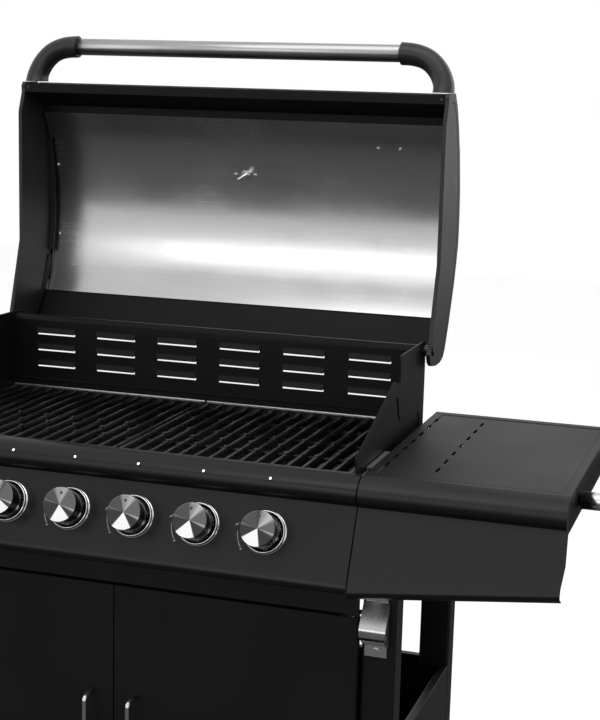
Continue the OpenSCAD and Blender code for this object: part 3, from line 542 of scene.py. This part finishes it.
def lamp_lens():
    return finish("Lit lamp", "Mottling", colours().lamp,
                  {"Roughness": 0.25, "Grain size": 2000.0, "Stain depth": 0.02},
                  Emission_Color=(*colours().lamp, 1), Emission_Strength=1.6)


def black_steel():
    return finish("Blackened steel", "Mottling", colours().paint,
                  {"Roughness": 0.34, "Grain size": 700.0, "Stain depth": 0.3}, bump=0.00001,
                  Specular_IOR_Level=0.6)


def printed_mark():
    return finish("Printed mark", "Mottling", colours().marking,
                  {"Roughness": 0.5, "Grain size": 1500.0, "Stain depth": 0.15})


def dial_face():
    return finish("Dial face", "Mottling", colours().dial,
                  {"Roughness": 0.4, "Grain size": 1200.0, "Stain depth": 0.08}, Coat_Weight=1.0,
                  Coat_Roughness=0.05)


def red_paint():
    return finish("Red needle", "Mottling", colours().needle,
                  {"Roughness": 0.4, "Grain size": 1500.0, "Stain depth": 0.1})


def tyre_rubber():
    return finish("Tyre rubber", "Mottling", colours().rubber,
                  {"Roughness": 0.62, "Grain size": 900.0, "Stain depth": 0.15}, bump=0.00008)


def hub_plastic():
    return finish("Hub plastic", "Mottling", colours().hub,
                  {"Roughness": 0.45, "Grain size": 900.0, "Stain depth": 0.1}, bump=0.00003)


# ---- making pieces ----

# two faces are one flat face under the angle FLAT and meet in an edge to round over FOLD, or
# over LONG_FOLD along a pierced sheet's long edges; WELD is how near two points are one
FLAT = math.radians(0.6)
FOLD = math.radians(32)
LONG_FOLD = math.radians(25)
WELD = 0.00001
# how far a knob's joint stands behind the panel's face
JOINT_DEPTH = 0.018


def link_piece(name, shape, material, body, replaced=()):
    """Makes an object of a bmesh with its material, body and slot, in place of the nodes given."""
    mesh = bpy.data.meshes.new(name)
    shape.to_mesh(mesh)
    shape.free()
    piece = bpy.data.objects.new(name, mesh)
    bpy.context.scene.collection.objects.link(piece)
    for polygon in mesh.polygons:
        polygon.use_smooth = True
    for one in material if isinstance(material, (list, tuple)) else (material,):
        mesh.materials.append(one)
    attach(piece, body)
    if replaced:
        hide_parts(*replaced)
    return piece


def body_of(node):
    return frame["nodes"][node]["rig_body"]


def merged_copy(node, whole=True):
    """The node's own surface with its loose triangles joined and, if whole, its flat faces too."""
    shape = bmesh.new()
    shape.from_mesh(frame["nodes"][node].data)
    bmesh.ops.remove_doubles(shape, verts=shape.verts, dist=WELD)
    if whole:
        bmesh.ops.dissolve_limit(shape, angle_limit=FLAT, verts=shape.verts, edges=shape.edges)
    return shape


def even_shading(piece, width=0.0):
    """Rounds a piece's sharp edges and keeps its large faces flat in shading."""
    if width:
        rounding = piece.modifiers.new("Rounded edges", "BEVEL")
        rounding.width = width
        rounding.segments = 2
        rounding.limit_method = "ANGLE"
        rounding.angle_limit = FOLD
        rounding.use_clamp_overlap = True
        rounding.miter_outer = "MITER_ARC"
    weights = piece.modifiers.new("Even shading", "WEIGHTED_NORMAL")
    weights.mode = "FACE_AREA_WITH_ANGLE"
    weights.keep_sharp = True
    return piece


def formed(node, shape, material):
    """A piece in the node's place, named after it."""
    return link_piece(f"{node}_formed", shape, material, body_of(node), (node,))


def rounded_node(node, material, width):
    """A piece that is the node's own shape with its edges rounded."""
    return even_shading(formed(node, merged_copy(node), material), width)


def pierced_node(node, material, width, shortest=0.03):
    """Like rounded_node, for a piece with many holes: only its long folds and rims are rounded."""
    shape = merged_copy(node, whole=False)
    weight = shape.edges.layers.float.new("bevel_weight_edge")
    for edge in shape.edges:
        angle = edge.calc_face_angle(0)
        if angle > LONG_FOLD and edge.calc_length() > shortest:
            edge[weight] = 1.0
        if angle > FOLD:
            edge.smooth = False
    piece = even_shading(formed(node, shape, material), width)
    piece.modifiers["Rounded edges"].limit_method = "WEIGHT"
    return piece


def paint_faces(piece, choose):
    """Gives each face the material slot that choose(centre, normal) names."""
    for polygon in piece.data.polygons:
        polygon.material_index = choose(polygon.center, polygon.normal)
    return piece


def turned(shape, profile, matrix=None):
    """Turns an outline of (radius, height) about Z into shape, then moves it by matrix."""
    before = set(shape.verts)
    verts = [shape.verts.new((radius, 0, height)) for radius, height in profile]
    edges = [shape.edges.new(pair) for pair in zip(verts, verts[1:])]
    bmesh.ops.spin(shape, geom=verts + edges, cent=(0, 0, 0), axis=(0, 0, 1),
                   angle=2 * math.pi, steps=sizes().turned_steps, use_merge=True)
    made = [vert for vert in shape.verts if vert not in before]
    bmesh.ops.remove_doubles(shape, verts=made, dist=WELD / 10)
    if matrix:
        made = [vert for vert in shape.verts if vert not in before]
        bmesh.ops.transform(shape, matrix=matrix, verts=made)


def point_frame(origin, outwards, up):
    """A matrix whose Z points outwards and whose Y is as near to up as it can be."""
    z = Vector(outwards).normalized()
    y = (Vector(up) - z * Vector(up).dot(z)).normalized()
    x = y.cross(z)
    matrix = Matrix((x, y, z)).transposed().to_4x4()
    matrix.translation = Vector(origin)
    return matrix


def slab(shape, points, thickness):
    """A flat piece with its outline through the points and its thickness given as a vector."""
    face = shape.faces.new([shape.verts.new(point) for point in points])
    made = bmesh.ops.extrude_face_region(shape, geom=[face], use_keep_orig=True)["geom"]
    far = [item for item in made if isinstance(item, bmesh.types.BMVert)]
    bmesh.ops.translate(shape, vec=thickness, verts=far)
    return list(face.verts) + far


def plate(shape, outline, low, high):
    """A flat plate with the given outline of (x, y), from low to high."""
    return slab(shape, [(x, y, low) for x, y in outline], (0, 0, high - low))


def strip(radius, start, end, thin, thick, steps=24):
    """Outline of an arc of the given radius whose width goes from thin to thick; in degrees."""
    inner, outer = [], []
    for step in range(steps + 1):
        t = step / steps
        angle = math.radians(start + (end - start) * t)
        half = (thin + (thick - thin) * t) / 2
        for side, reach in ((inner, radius - half), (outer, radius + half)):
            side.append((reach * math.cos(angle), reach * math.sin(angle)))
    return inner + outer[::-1]


def round_outline(x, y, radius, steps=24):
    return [(x + radius * math.cos(2 * math.pi * step / steps),
             y + radius * math.sin(2 * math.pi * step / steps)) for step in range(steps)]


def knob_frame(knob):
    """A frame where a knob's axis meets the panel: Z outwards and Y up the panel."""
    joint = JOINTS[f"valve_turn_{knob}"]
    outwards = Vector(joint["axis"])
    return point_frame(Vector(joint["pos_m"]) + outwards * JOINT_DEPTH, outwards, (0, 0, 1))


def closed(shape):
    bmesh.ops.recalc_face_normals(shape, faces=shape.faces)
    return shape


# ---- operators: one for each piece or group of like pieces ----


class GRILL_OT_painted_sheets(bpy.types.Operator):
    """Round the folds of the black sheet parts and coat them"""
    bl_idname = "grill.painted_sheets"
    bl_label = "Painted sheets"

    PLAIN = ("side_fascias", "side_panels", "rear_panel", "base_shelf", "door_left", "door_right",
             "legs")
    PIERCED = {
        painted_sheet: ("firebox_front", "firebox_floor", "front_rail"),
        satin_sheet: ("control_panel",),
        matt_sheet: ("table_left", "table_right", "firebox_rear", "firebox_left", "firebox_right",
                     "hood_trims"),
    }

    def execute(self, context):
        for node in self.PLAIN:
            rounded_node(node, painted_sheet(), sizes().fold_round)
        for coat, nodes in self.PIERCED.items():
            for node in nodes:
                pierced_node(node, coat(), sizes().rim_round)
        return {"FINISHED"}


class GRILL_OT_hood(bpy.types.Operator):
    """Coat the hood's skin and ends and brush its lining"""
    bl_idname = "grill.hood"
    bl_label = "Hood"

    def execute(self, context):
        rounded_node("hood_skin", painted_sheet(), sizes().skin_round)
        for side in SIDES:
            rounded_node(f"hood_cap_{side}", painted_casting(), sizes().casting_round)
        lining = brushed_steel("X", "Hood lining", 0.21, 0.02, 0.0,
                               part_of(colours().steel, 0.86), 3.0)
        rounded_node("hood_liner", lining, 0.0003)
        self.close_ends()
        return {"FINISHED"}

    # a lower corner plate seen from the side, in mm from the hood's hinge
    CORNER = ((120, 99), (108, 61), (78, -5), (87, -10.5), (98, -8), (111, 14), (122.5, 39),
              (134, 67), (142, 99))
    CORNER_THICKNESS = 0.0018
    # the bead along an end of the lining: its section, radius and arc round the middle of the
    # hood's curve, which lies this far behind and above the hinge
    BEAD = 0.004
    BEAD_RADIUS = 0.4075
    BEAD_ARC = (-19, 24.5)
    CURVE_MIDDLE = Vector((0, -0.2626, 0.186))

    def close_ends(self):
        """Plates in the skin's lower corners and beads along the lining's ends."""
        hinge = Vector(JOINTS["hood_hinge"]["pos_m"])
        middle = hinge + self.CURVE_MIDDLE
        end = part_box("hood_liner")[1].x
        bead = strip(self.BEAD_RADIUS, *self.BEAD_ARC, self.BEAD, self.BEAD)
        shape = bmesh.new()
        for side in (-1, 1):
            x = side * (end - self.CORNER_THICKNESS)
            slab(shape, [(x, hinge.y + y / 1000, hinge.z + z / 1000) for y, z in self.CORNER],
                 (side * self.CORNER_THICKNESS, 0, 0))
        for side in (-1, 1):
            x = side * (end - self.BEAD)
            slab(shape, [(x, middle.y + y, middle.z + z) for y, z in bead],
                 (side * self.BEAD, 0, 0))
        link_piece("hood_corners", closed(shape), painted_sheet(), "hood")


class GRILL_OT_handle(bpy.types.Operator):
    """Finish the hood's handle: a brushed bar between two moulded arms"""
    bl_idname = "grill.handle"
    bl_label = "Hood handle"

    def execute(self, context):
        satin = brushed_steel("X", "Handle bar", 0.3, 0.03, colour=part_of(colours().steel, 0.62))
        rounded_node("handle_bar", satin, 0.0)
        low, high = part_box("handle_bar")
        axis = (low + high) / 2
        start = Vector((high.x, axis.y, axis.z)) + self.START
        shape = bmesh.new()
        for side in (-1, 1):
            rings = [self.ring(shape, side, start, row) for row in self.run()]
            for one, other in zip(rings, rings[1:]):
                bmesh.ops.bridge_loops(shape, edges=one + other)
            for end in (rings[0], rings[-1]):
                bmesh.ops.contextual_create(shape, geom=end)
        even_shading(formed("handle_arms", closed(shape), moulded_plastic()))
        return {"FINISHED"}

    # the point that an arm's stations are counted from, seen from the end of the grip's axis
    START = Vector((-0.008, -0.012, -0.0605))
    # an arm from grip to foot, in mm and degrees: out, behind, above, turn, width, depth
    STATIONS = ((0, 12, 60.5, 0, 37, 37), (24, 12, 58.5, 12, 36, 37),
                (46, 10.5, 50.5, 33, 34.5, 38), (63, 8, 34.5, 57, 33, 40),
                (73, 4, 14.5, 80, 32, 43), (74.5, 0, 0, 90, 32, 47))
    # how the mouth at the grip is rounded: how far out, and how much narrower
    MOUTH = ((0, -1.8), (0.3, -0.7), (1, 0))
    STEPS = 8
    RING_STEPS = 40

    def run(self):
        """The stations with smooth steps between them, after the rounded mouth."""
        rows = [Vector(row) for row in self.STATIONS]
        made = [rows[0] + Vector((out, 0, 0, 0, cut, cut)) for out, cut in self.MOUTH]
        for index in range(len(rows) - 1):
            start, end = rows[index], rows[index + 1]
            leave = (end - rows[max(index - 1, 0)]) / 2
            arrive = (rows[min(index + 2, len(rows) - 1)] - start) / 2
            for step in range(1, self.STEPS + 1):
                t = step / self.STEPS
                made.append(start * (2 * t ** 3 - 3 * t ** 2 + 1)
                            + leave * (t ** 3 - 2 * t ** 2 + t)
                            + end * (3 * t ** 2 - 2 * t ** 3) + arrive * (t ** 3 - t ** 2))
        return made

    def ring(self, shape, side, start, row):
        """The edges of one rounded cross-section of an arm."""
        centre = start + Vector(row[:3]) / 1000
        turn, radius, flat = math.radians(row[3]), row[4] / 2000, (row[5] - row[4]) / 2000
        across = Vector((-math.sin(turn), 0, -math.cos(turn)))
        verts = []
        for step in range(self.RING_STEPS):
            angle = 2 * math.pi * (step + 0.5) / self.RING_STEPS
            deep = radius * math.sin(angle) + math.copysign(flat, math.sin(angle))
            point = centre + across * radius * math.cos(angle) + Vector((0, deep, 0))
            verts.append(shape.verts.new((side * point.x, point.y, point.z)))
        return [shape.edges.new(pair) for pair in zip(verts, verts[1:] + verts[:1])]


class GRILL_OT_grates(bpy.types.Operator):
    """Round the grates' bars and enamel them"""
    bl_idname = "grill.grates"
    bl_label = "Grates"

    def execute(self, context):
        rims = bmesh.new()
        for side in SIDES:
            node = f"grate_{side}"
            low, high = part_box(node)
            grate = pierced_node(node, (enamel(), worn_iron()), sizes().grate_round)
            paint_faces(grate, lambda centre, normal: int(centre.z > high.z - self.STUD))
            rim = bmesh.ops.create_cube(rims, size=1)["verts"]
            bmesh.ops.scale(rims, vec=(high.x - low.x, self.RIM_DEPTH, self.RIM_HEIGHT), verts=rim)
            bmesh.ops.translate(rims, vec=((low.x + high.x) / 2, high.y - self.RIM_IN,
                                           high.z - self.RIM_DOWN), verts=rim)
        bmesh.ops.bevel(rims, geom=rims.edges, offset=0.001, offset_type="OFFSET", segments=3,
                        profile=0.5, affect="EDGES", material=-1)
        link_piece("grate_rims", closed(rims), zinc_plate(), body_of("grate_left"))
        return {"FINISHED"}

    # how far below their tops the studs are worn
    STUD = 0.0013
    # the bright rim along a grate's rear: its section, and its middle from the grate's rear and top
    RIM_DEPTH = 0.0032
    RIM_HEIGHT = 0.003
    RIM_IN = 0.002
    RIM_DOWN = 0.0022


class GRILL_OT_burners(bpy.types.Operator):
    """Finish the burners and the flame tamers over them"""
    bl_idname = "grill.burners"
    bl_label = "Burners"

    def execute(self, context):
        rounded_node("burners", brushed_steel("Y", "Burner steel", 0.4, 0.2), 0.0003)
        rounded_node("flame_tamers", brushed_steel("Y", "Flame tamer steel", 0.42, 0.22), 0.0004)
        return {"FINISHED"}


class GRILL_OT_gas_train(bpy.types.Operator):
    """Finish the valves, their cores and the pipe that feeds them"""
    bl_idname = "grill.gas_train"
    bl_label = "Gas train"

    def execute(self, context):
        rounded_node("gas_valves", machined_brass(), 0.0004)
        rounded_node("gas_manifold", zinc_plate(), 0.0008)
        for knob in KNOBS:
            rounded_node(f"valve_core_{knob}", machined_brass(), 0.0003)
        return {"FINISHED"}


class GRILL_OT_knobs(bpy.types.Operator):
    """Make the control knobs with turned faces and polished skirts, with highlights painted into
    their colour
    """
    bl_idname = "grill.knobs"
    bl_label = "Knobs"

    # how deep the turned face reaches, and how many radii out the skirt lies on the pattern of its
    # painted highlights
    FACE_DEPTH = 0.0008
    SKIRT_AT = 1.3
    # the pointer let into the face: how many radii out, the radius of its round head, how far in
    # its tip reaches, and how far its bottom and its top lie below the knob's top
    POINTER_AT = 0.66
    POINTER_HEAD = 0.0022
    POINTER_TIP = 0.0028
    POINTER_DEPTHS = (0.0004, 0.0002)

    def profile(self):
        """A knob's outline: over its face, down its skirt and up inside to its spindle."""
        r, h = sizes().knob_radius, sizes().knob_height
        return [(0, h - 0.0003), (r * 0.5, h - 0.0003), (r - 0.0017, h - 0.0003),
                (r - 0.0012, h - 0.0001), (r - 0.0008, h), (r - 0.0003, h - 0.0003),
                (r, h - 0.0013), (r - 0.0003, h - 0.004), (r - 0.0005, h - 0.012),
                (r - 0.0004, h * 0.42), (r, h * 0.3), (r + 0.0003, 0.0105), (r + 0.0004, 0.0092),
                (r, 0.0085), (r - 0.0025, 0.0085), (r - 0.003, h - 0.004), (0.006, h - 0.004),
                (0.006, 0.012), (0.003, 0.012), (0.003, -0.019), (0.0026, -0.02), (0, -0.02)]

    def execute(self, context):
        radius, height = sizes().knob_radius, sizes().knob_height
        for knob in KNOBS:
            shape = bmesh.new()
            turned(shape, self.profile())
            closed(shape)
            place = shape.loops.layers.uv.new("UVMap")
            for face in shape.faces:
                centre = face.calc_center_median()
                top = centre.z > height - self.FACE_DEPTH
                face.material_index = 0 if top else 1
                for loop in face.loops:
                    spot = Vector(loop.vert.co.xy)
                    if spot.length > 0 and not (top and face.normal.z > 0.9):
                        spot = spot.normalized() * radius * self.SKIRT_AT
                    loop[place].uv = spot / radius
            middle = radius * self.POINTER_AT
            half_round = round_outline(0, middle, self.POINTER_HEAD)[:13]
            mark = plate(shape, half_round + [(0, middle - self.POINTER_TIP)],
                         *(height - depth for depth in self.POINTER_DEPTHS))
            for face in {face for vert in mark for face in vert.link_faces}:
                face.material_index = 2
            bmesh.ops.transform(shape, matrix=knob_frame(knob), verts=shape.verts)
            even_shading(formed(f"knob_{knob}", shape,
                                (turned_face(knob), polished_skirt(), black_steel())))
        return {"FINISHED"}


class GRILL_OT_knob_surrounds(bpy.types.Operator):
    """Make the ridged rings round the knobs and the marks printed beside them"""
    bl_idname = "grill.knob_surrounds"
    bl_label = "Knob surrounds"

    # a ring's outline, in mm: in from its outer edge and out from the panel
    RIM = ((0.3, 0), (0, 0.4), (0, 2.2), (0.3, 3.4), (0.9, 4.2), (1.5, 4.5), (2.1, 5), (2.4, 6),
           (2.4, 7.4), (2.1, 8.2), (1.9, 8.8), (2.1, 9.6), (2.6, 10.05), (3.2, 10.2), (3.7, 9.9),
           (4, 9.2), (4.1, 3))
    # the radius of its bore and the thickness of its bottom
    BORE = 0.009
    BOTTOM = 0.003
    # the marks at a knob's left: their thickness; the arc's radius, its ends in degrees and its
    # width at each; the dot's middle and radius; the spark's middle and, in mm from there, outline
    INK = 0.00012
    ARC = (0.0415, 183, 215, 0.0008, 0.0019)
    DOT = (-0.0329, -0.0266, 0.0017)
    SPARK_AT = (-0.0435, 0.0068)
    SPARK = ((2.6, 3.4), (-0.2, 1.1), (-0.9, 1.6), (-3.0, -3.4), (0.1, -0.9), (0.9, -1.3))

    def execute(self, context):
        rim = [(sizes().bezel_radius - inwards / 1000, out / 1000) for inwards, out in self.RIM]
        profile = [(self.BORE, 0), *rim, (self.BORE, self.BOTTOM), (self.BORE, 0)]
        left, up = self.SPARK_AT
        spark = [(x / 1000 + left, y / 1000 + up) for x, y in self.SPARK]
        rings, marks = bmesh.new(), bmesh.new()
        for knob in KNOBS:
            turned(rings, profile, knob_frame(knob))
            for outline in (strip(*self.ARC), round_outline(*self.DOT), spark):
                made = plate(marks, outline, 0, self.INK)
                bmesh.ops.transform(marks, matrix=knob_frame(knob), verts=made)
        even_shading(link_piece("knob_bezels_formed", closed(rings), polished_chrome(),
                                body_of("knob_bezels"), ("knob_bezels",)))
        link_piece("knob_marks", closed(marks), printed_mark(), body_of("control_panel"))
        return {"FINISHED"}


class GRILL_OT_thermometer(bpy.types.Operator):
    """Make the thermometer's dial, its graduation and its needle"""
    bl_idname = "grill.thermometer"
    bl_label = "Thermometer"

    # the dial's face lies between these distances from the needle's joint, and its marks between
    # these; then the marks' outer radius, the length and half width of a long and a short one, how
    # many there are, the angle of the first and the step between them, and the arc inside them
    FACE = (0.006, 0.0072)
    PRINT = (0.00655, 0.0067)
    RADIUS = 0.0235
    LONG_MARK = (0.0042, 0.0005)
    SHORT_MARK = (0.0024, 0.0003)
    MARKS = 28
    FIRST_MARK = 135
    MARK_STEP = 10
    ARC = (0.0165, 215, -35, 0.0006, 0.002)

    def execute(self, context):
        joint = JOINTS["needle_turn"]
        outwards = -Vector(joint["axis"])
        dial = point_frame(joint["pos_m"], outwards, (0, 0, -1))
        to_dial = dial.inverted()
        near, far = self.FACE
        case = rounded_node("thermometer", (polished_chrome(), dial_face()), 0.0003)
        paint_faces(case, lambda centre, normal: int(
            normal.dot(outwards) > 0.95 and near < (to_dial @ centre).z < far))
        marks = bmesh.new()
        for step in range(self.MARKS):
            length, half = self.SHORT_MARK if step % 3 else self.LONG_MARK
            foot = self.RADIUS - length
            tick = [(-half, foot), (half, foot), (half, self.RADIUS), (-half, self.RADIUS)]
            turn = math.radians(self.FIRST_MARK - self.MARK_STEP * step)
            bmesh.ops.rotate(marks, cent=(0, 0, 0), verts=plate(marks, tick, *self.PRINT),
                             matrix=Matrix.Rotation(turn, 3, "Z"))
        plate(marks, strip(*self.ARC), *self.PRINT)
        bmesh.ops.transform(marks, matrix=dial, verts=marks.verts)
        link_piece("dial_marks", closed(marks), black_steel(), "hood")
        rounded_node("thermo_needle", red_paint(), 0.0)
        return {"FINISHED"}


class GRILL_OT_small_parts(bpy.types.Operator):
    """Finish the rails, handles, screws, pins, brackets, tray and opener"""
    bl_idname = "grill.small_parts"
    bl_label = "Small parts"

    # a wheel's hub reaches to this radius; the screws on the hood's top and the pins of its hinge
    # lie above these heights and are black
    HUB_RADIUS = 0.0285
    TOP_SCREWS = 1.35
    HOOD_PINS = 0.9
    # a lamp is lit within this radius and beyond this distance from its seat
    LENS_RADIUS = 0.0019
    LENS_HEIGHT = 0.0068

    def execute(self, context):
        self.make_lamps()
        rounded_node("towel_rails", brushed_steel("Y", "Rail steel", 0.26, 0.16,
                                                  colour=colours().chrome), 0.0)
        for side in SIDES:
            rounded_node(f"door_handle_{side}", brushed_steel("Z", "Handle steel", 0.2, 0.05), 0.0)
            rounded_node(f"fork_{side}", zinc_plate(), 0.0005)
            for end in ("front", "rear"):
                low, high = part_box(f"wheel_{end}_{side}")
                axle = (low + high) / 2
                wheel = rounded_node(f"wheel_{end}_{side}", (tyre_rubber(), hub_plastic()), 0.0008)
                paint_faces(wheel, lambda centre, normal: int(
                    (centre - axle).yz.length < self.HUB_RADIUS))
        screws = rounded_node("hood_screws", (polished_chrome(), black_steel()), 0.0004)
        paint_faces(screws, lambda centre, normal: int(centre.z > self.TOP_SCREWS))
        pierced_node("grease_tray", brushed_steel("X", "Tray steel", 0.35, 0.12), 0.0004)
        rounded_node("bottle_opener", brushed_steel("Z", "Opener steel", 0.25, 0.06), 0.0005)
        rounded_node("body_brackets", zinc_plate(), 0.0004)
        pins = rounded_node("hinge_pins", (zinc_plate(), black_steel()), 0.0004)
        paint_faces(pins, lambda centre, normal: int(centre.z > self.HOOD_PINS))
        rounded_node("caster_mounts", zinc_plate(), 0.0005)
        return {"FINISHED"}

    def make_lamps(self):
        """The lamps' lenses, lit in the middle and dark at the rim."""
        shape = merged_copy("led_lights")
        back = max(shape.faces, key=lambda face: face.calc_area())
        outwards, seat = -back.normal, back.calc_center_median()
        shape.free()
        places = [JOINTS[f"valve_turn_{knob}"]["pos_m"][0] for knob in KNOBS]

        def lit(centre, normal):
            across = centre - seat
            height = across.dot(outwards)
            across -= outwards * height
            across.x = min(abs(centre.x - x) for x in places)
            return int(height > self.LENS_HEIGHT and across.length < self.LENS_RADIUS)

        paint_faces(rounded_node("led_lights", (black_steel(), lamp_lens()), 0.0), lit)


class GRILL_OT_studio(bpy.types.Operator):
    """Lay the pale floor, hang the soft lights and place the camera"""
    bl_idname = "grill.studio"
    bl_label = "Studio"

    def execute(self, context):
        make_world()
        make_floor()
        make_lights()
        place_camera()
        context.scene.view_settings.view_transform = "Standard"
        return {"FINISHED"}


def background_mask(tree):
    """1 where a camera, glossy or transmission ray looks, which all see the plain background."""
    path = add(tree, "ShaderNodeLightPath")
    seen = math_node(tree, "MAXIMUM", path.outputs["Is Camera Ray"], path.outputs["Is Glossy Ray"])
    return math_node(tree, "MAXIMUM", seen, path.outputs["Is Transmission Ray"])


def make_world():
    world = bpy.data.worlds.new("Studio")
    bpy.context.scene.world = world
    world.use_nodes = True
    tree = world.node_tree
    tree.nodes.clear()
    ambient = add(tree, "ShaderNodeBackground")
    ambient.inputs["Color"].default_value = (1, 1, 1, 1)
    ambient.inputs["Strength"].default_value = studio().ambient
    white = add(tree, "ShaderNodeBackground")
    white.inputs["Color"].default_value = (1, 1, 1, 1)
    white.inputs["Strength"].default_value = 1.0
    mix = add(tree, "ShaderNodeMixShader")
    out = add(tree, "ShaderNodeOutputWorld")
    tree.links.new(background_mask(tree), mix.inputs["Fac"])
    tree.links.new(ambient.outputs[0], mix.inputs[1])
    tree.links.new(white.outputs[0], mix.inputs[2])
    tree.links.new(mix.outputs[0], out.inputs["Surface"])


def stage_plane(name, x0, x1, y0, y1, z):
    shape = bmesh.new()
    bmesh.ops.create_grid(shape, x_segments=1, y_segments=1, size=0.5)
    bmesh.ops.scale(shape, vec=(x1 - x0, y1 - y0, 1), verts=shape.verts)
    bmesh.ops.translate(shape, vec=((x0 + x1) / 2, (y0 + y1) / 2, z), verts=shape.verts)
    mesh = bpy.data.meshes.new(name)
    shape.to_mesh(mesh)
    shape.free()
    plane = bpy.data.objects.new(name, mesh)
    bpy.context.scene.collection.objects.link(plane)
    return plane


def make_floor():
    """A pale floor that is lit a little of itself where it is looked at, so it stays near white."""
    floor = stage_plane("floor", -60, 60, -60, 60, 0)
    material = bpy.data.materials.new("Pale floor")
    material.use_nodes = True
    tree = material.node_tree
    shader = tree.nodes["Principled BSDF"]
    shader.inputs["Base Color"].default_value = (*studio().floor, 1)
    shader.inputs["Roughness"].default_value = 0.9
    shader.inputs["Specular IOR Level"].default_value = 0.1
    shader.inputs["Emission Color"].default_value = (1, 1, 1, 1)
    glow = math_node(tree, "MULTIPLY", background_mask(tree), studio().floor_glow)
    tree.links.new(glow, shader.inputs["Emission Strength"])
    floor.data.materials.append(material)
    flag = stage_plane("floor_flag", -9, 9, -9, 9, 0.002)
    cloth = bpy.data.materials.new("Dark cloth")
    cloth.use_nodes = True
    shader = cloth.node_tree.nodes["Principled BSDF"]
    shader.inputs["Base Color"].default_value = (*studio().cloth, 1)
    shader.inputs["Roughness"].default_value = 1.0
    flag.data.materials.append(cloth)
    flag.visible_camera = False
    flag.visible_diffuse = False
    flag.visible_shadow = False
    flag.visible_transmission = False


def soft_box(name, place, target, width, height, power):
    light = bpy.data.lights.new(name, "AREA")
    light.shape = "RECTANGLE"
    light.size = width
    light.size_y = height
    light.energy = power
    box = bpy.data.objects.new(name, light)
    box.location = place
    box.rotation_euler = (Vector(target) - Vector(place)).to_track_quat("-Z", "Y").to_euler()
    bpy.context.scene.collection.objects.link(box)
    return box


def make_lights():
    middle = (0, 0, 0.9)
    soft_box("top_box", (0.4, -0.9, 3.4), middle, 3.2, 1.8, studio().top_light)
    soft_box("front_strip", (-0.4, -6.0, 2.42), (0, 0.28, 1.15), 5.2, 0.85, studio().strip_light)
    soft_box("left_box", (-3.6, -1.6, 2.0), middle, 1.6, 2.2, studio().side_light)


def place_camera():
    """The camera stands at the front right, a little above the hood's middle."""
    yaw, pitch, roll = (math.radians(angle) for angle in CAMERA_ANGLES)
    forward = Vector((-math.sin(yaw) * math.cos(pitch), math.cos(yaw) * math.cos(pitch),
                      math.sin(pitch)))
    right = Vector((math.cos(yaw), math.sin(yaw), 0))
    up = right.cross(forward)
    side = right * math.cos(roll) + up * math.sin(roll)
    top = up * math.cos(roll) - right * math.sin(roll)
    data = bpy.data.cameras.new("camera")
    data.lens = sizes().lens
    data.sensor_width = 36.0
    data.sensor_fit = "AUTO"
    camera = bpy.data.objects.new("camera", data)
    matrix = Matrix((side, top, -forward)).transposed().to_4x4()
    x, y, z = CAMERA_PLACE
    matrix.translation = Vector((x, JOINTS["hood_hinge"]["pos_m"][1] + y, z))
    camera.matrix_world = matrix
    bpy.context.scene.collection.objects.link(camera)
    bpy.context.scene.camera = camera


class GRILL_PT_panel(bpy.types.Panel):
    """Sizes, colours and pieces of the grill"""
    bl_label = "Grill"
    bl_idname = "GRILL_PT_panel"
    bl_space_type = "VIEW_3D"
    bl_region_type = "UI"
    bl_category = "Grill"

    def draw(self, context):
        for group in (sizes(), colours(), studio()):
            box = self.layout.box()
            for label in group.bl_rna.properties.keys():
                if label not in ("rna_type", "name"):
                    box.prop(group, label)
        for operator in OPERATORS:
            self.layout.operator(operator.bl_idname)


OPERATORS = (
    GRILL_OT_painted_sheets,
    GRILL_OT_hood,
    GRILL_OT_handle,
    GRILL_OT_grates,
    GRILL_OT_burners,
    GRILL_OT_gas_train,
    GRILL_OT_knobs,
    GRILL_OT_knob_surrounds,
    GRILL_OT_thermometer,
    GRILL_OT_small_parts,
    GRILL_OT_studio,
)
CLASSES = (GrillSizes, GrillColours, GrillStudio, *OPERATORS, GRILL_PT_panel)


def register():
    for one in CLASSES:
        bpy.utils.register_class(one)
    bpy.types.Scene.grill_sizes = PointerProperty(type=GrillSizes)
    bpy.types.Scene.grill_colours = PointerProperty(type=GrillColours)
    bpy.types.Scene.grill_studio = PointerProperty(type=GrillStudio)


def unregister():
    del bpy.types.Scene.grill_sizes
    del bpy.types.Scene.grill_colours
    del bpy.types.Scene.grill_studio
    for one in reversed(CLASSES):
        bpy.utils.unregister_class(one)


def main():
    register()
    bpy.ops.grill.painted_sheets()
    bpy.ops.grill.hood()
    bpy.ops.grill.handle()
    bpy.ops.grill.grates()
    bpy.ops.grill.burners()
    bpy.ops.grill.gas_train()
    bpy.ops.grill.knobs()
    bpy.ops.grill.knob_surrounds()
    bpy.ops.grill.thermometer()
    bpy.ops.grill.small_parts()
    bpy.ops.grill.studio()


if __name__ == "__main__":
    main()
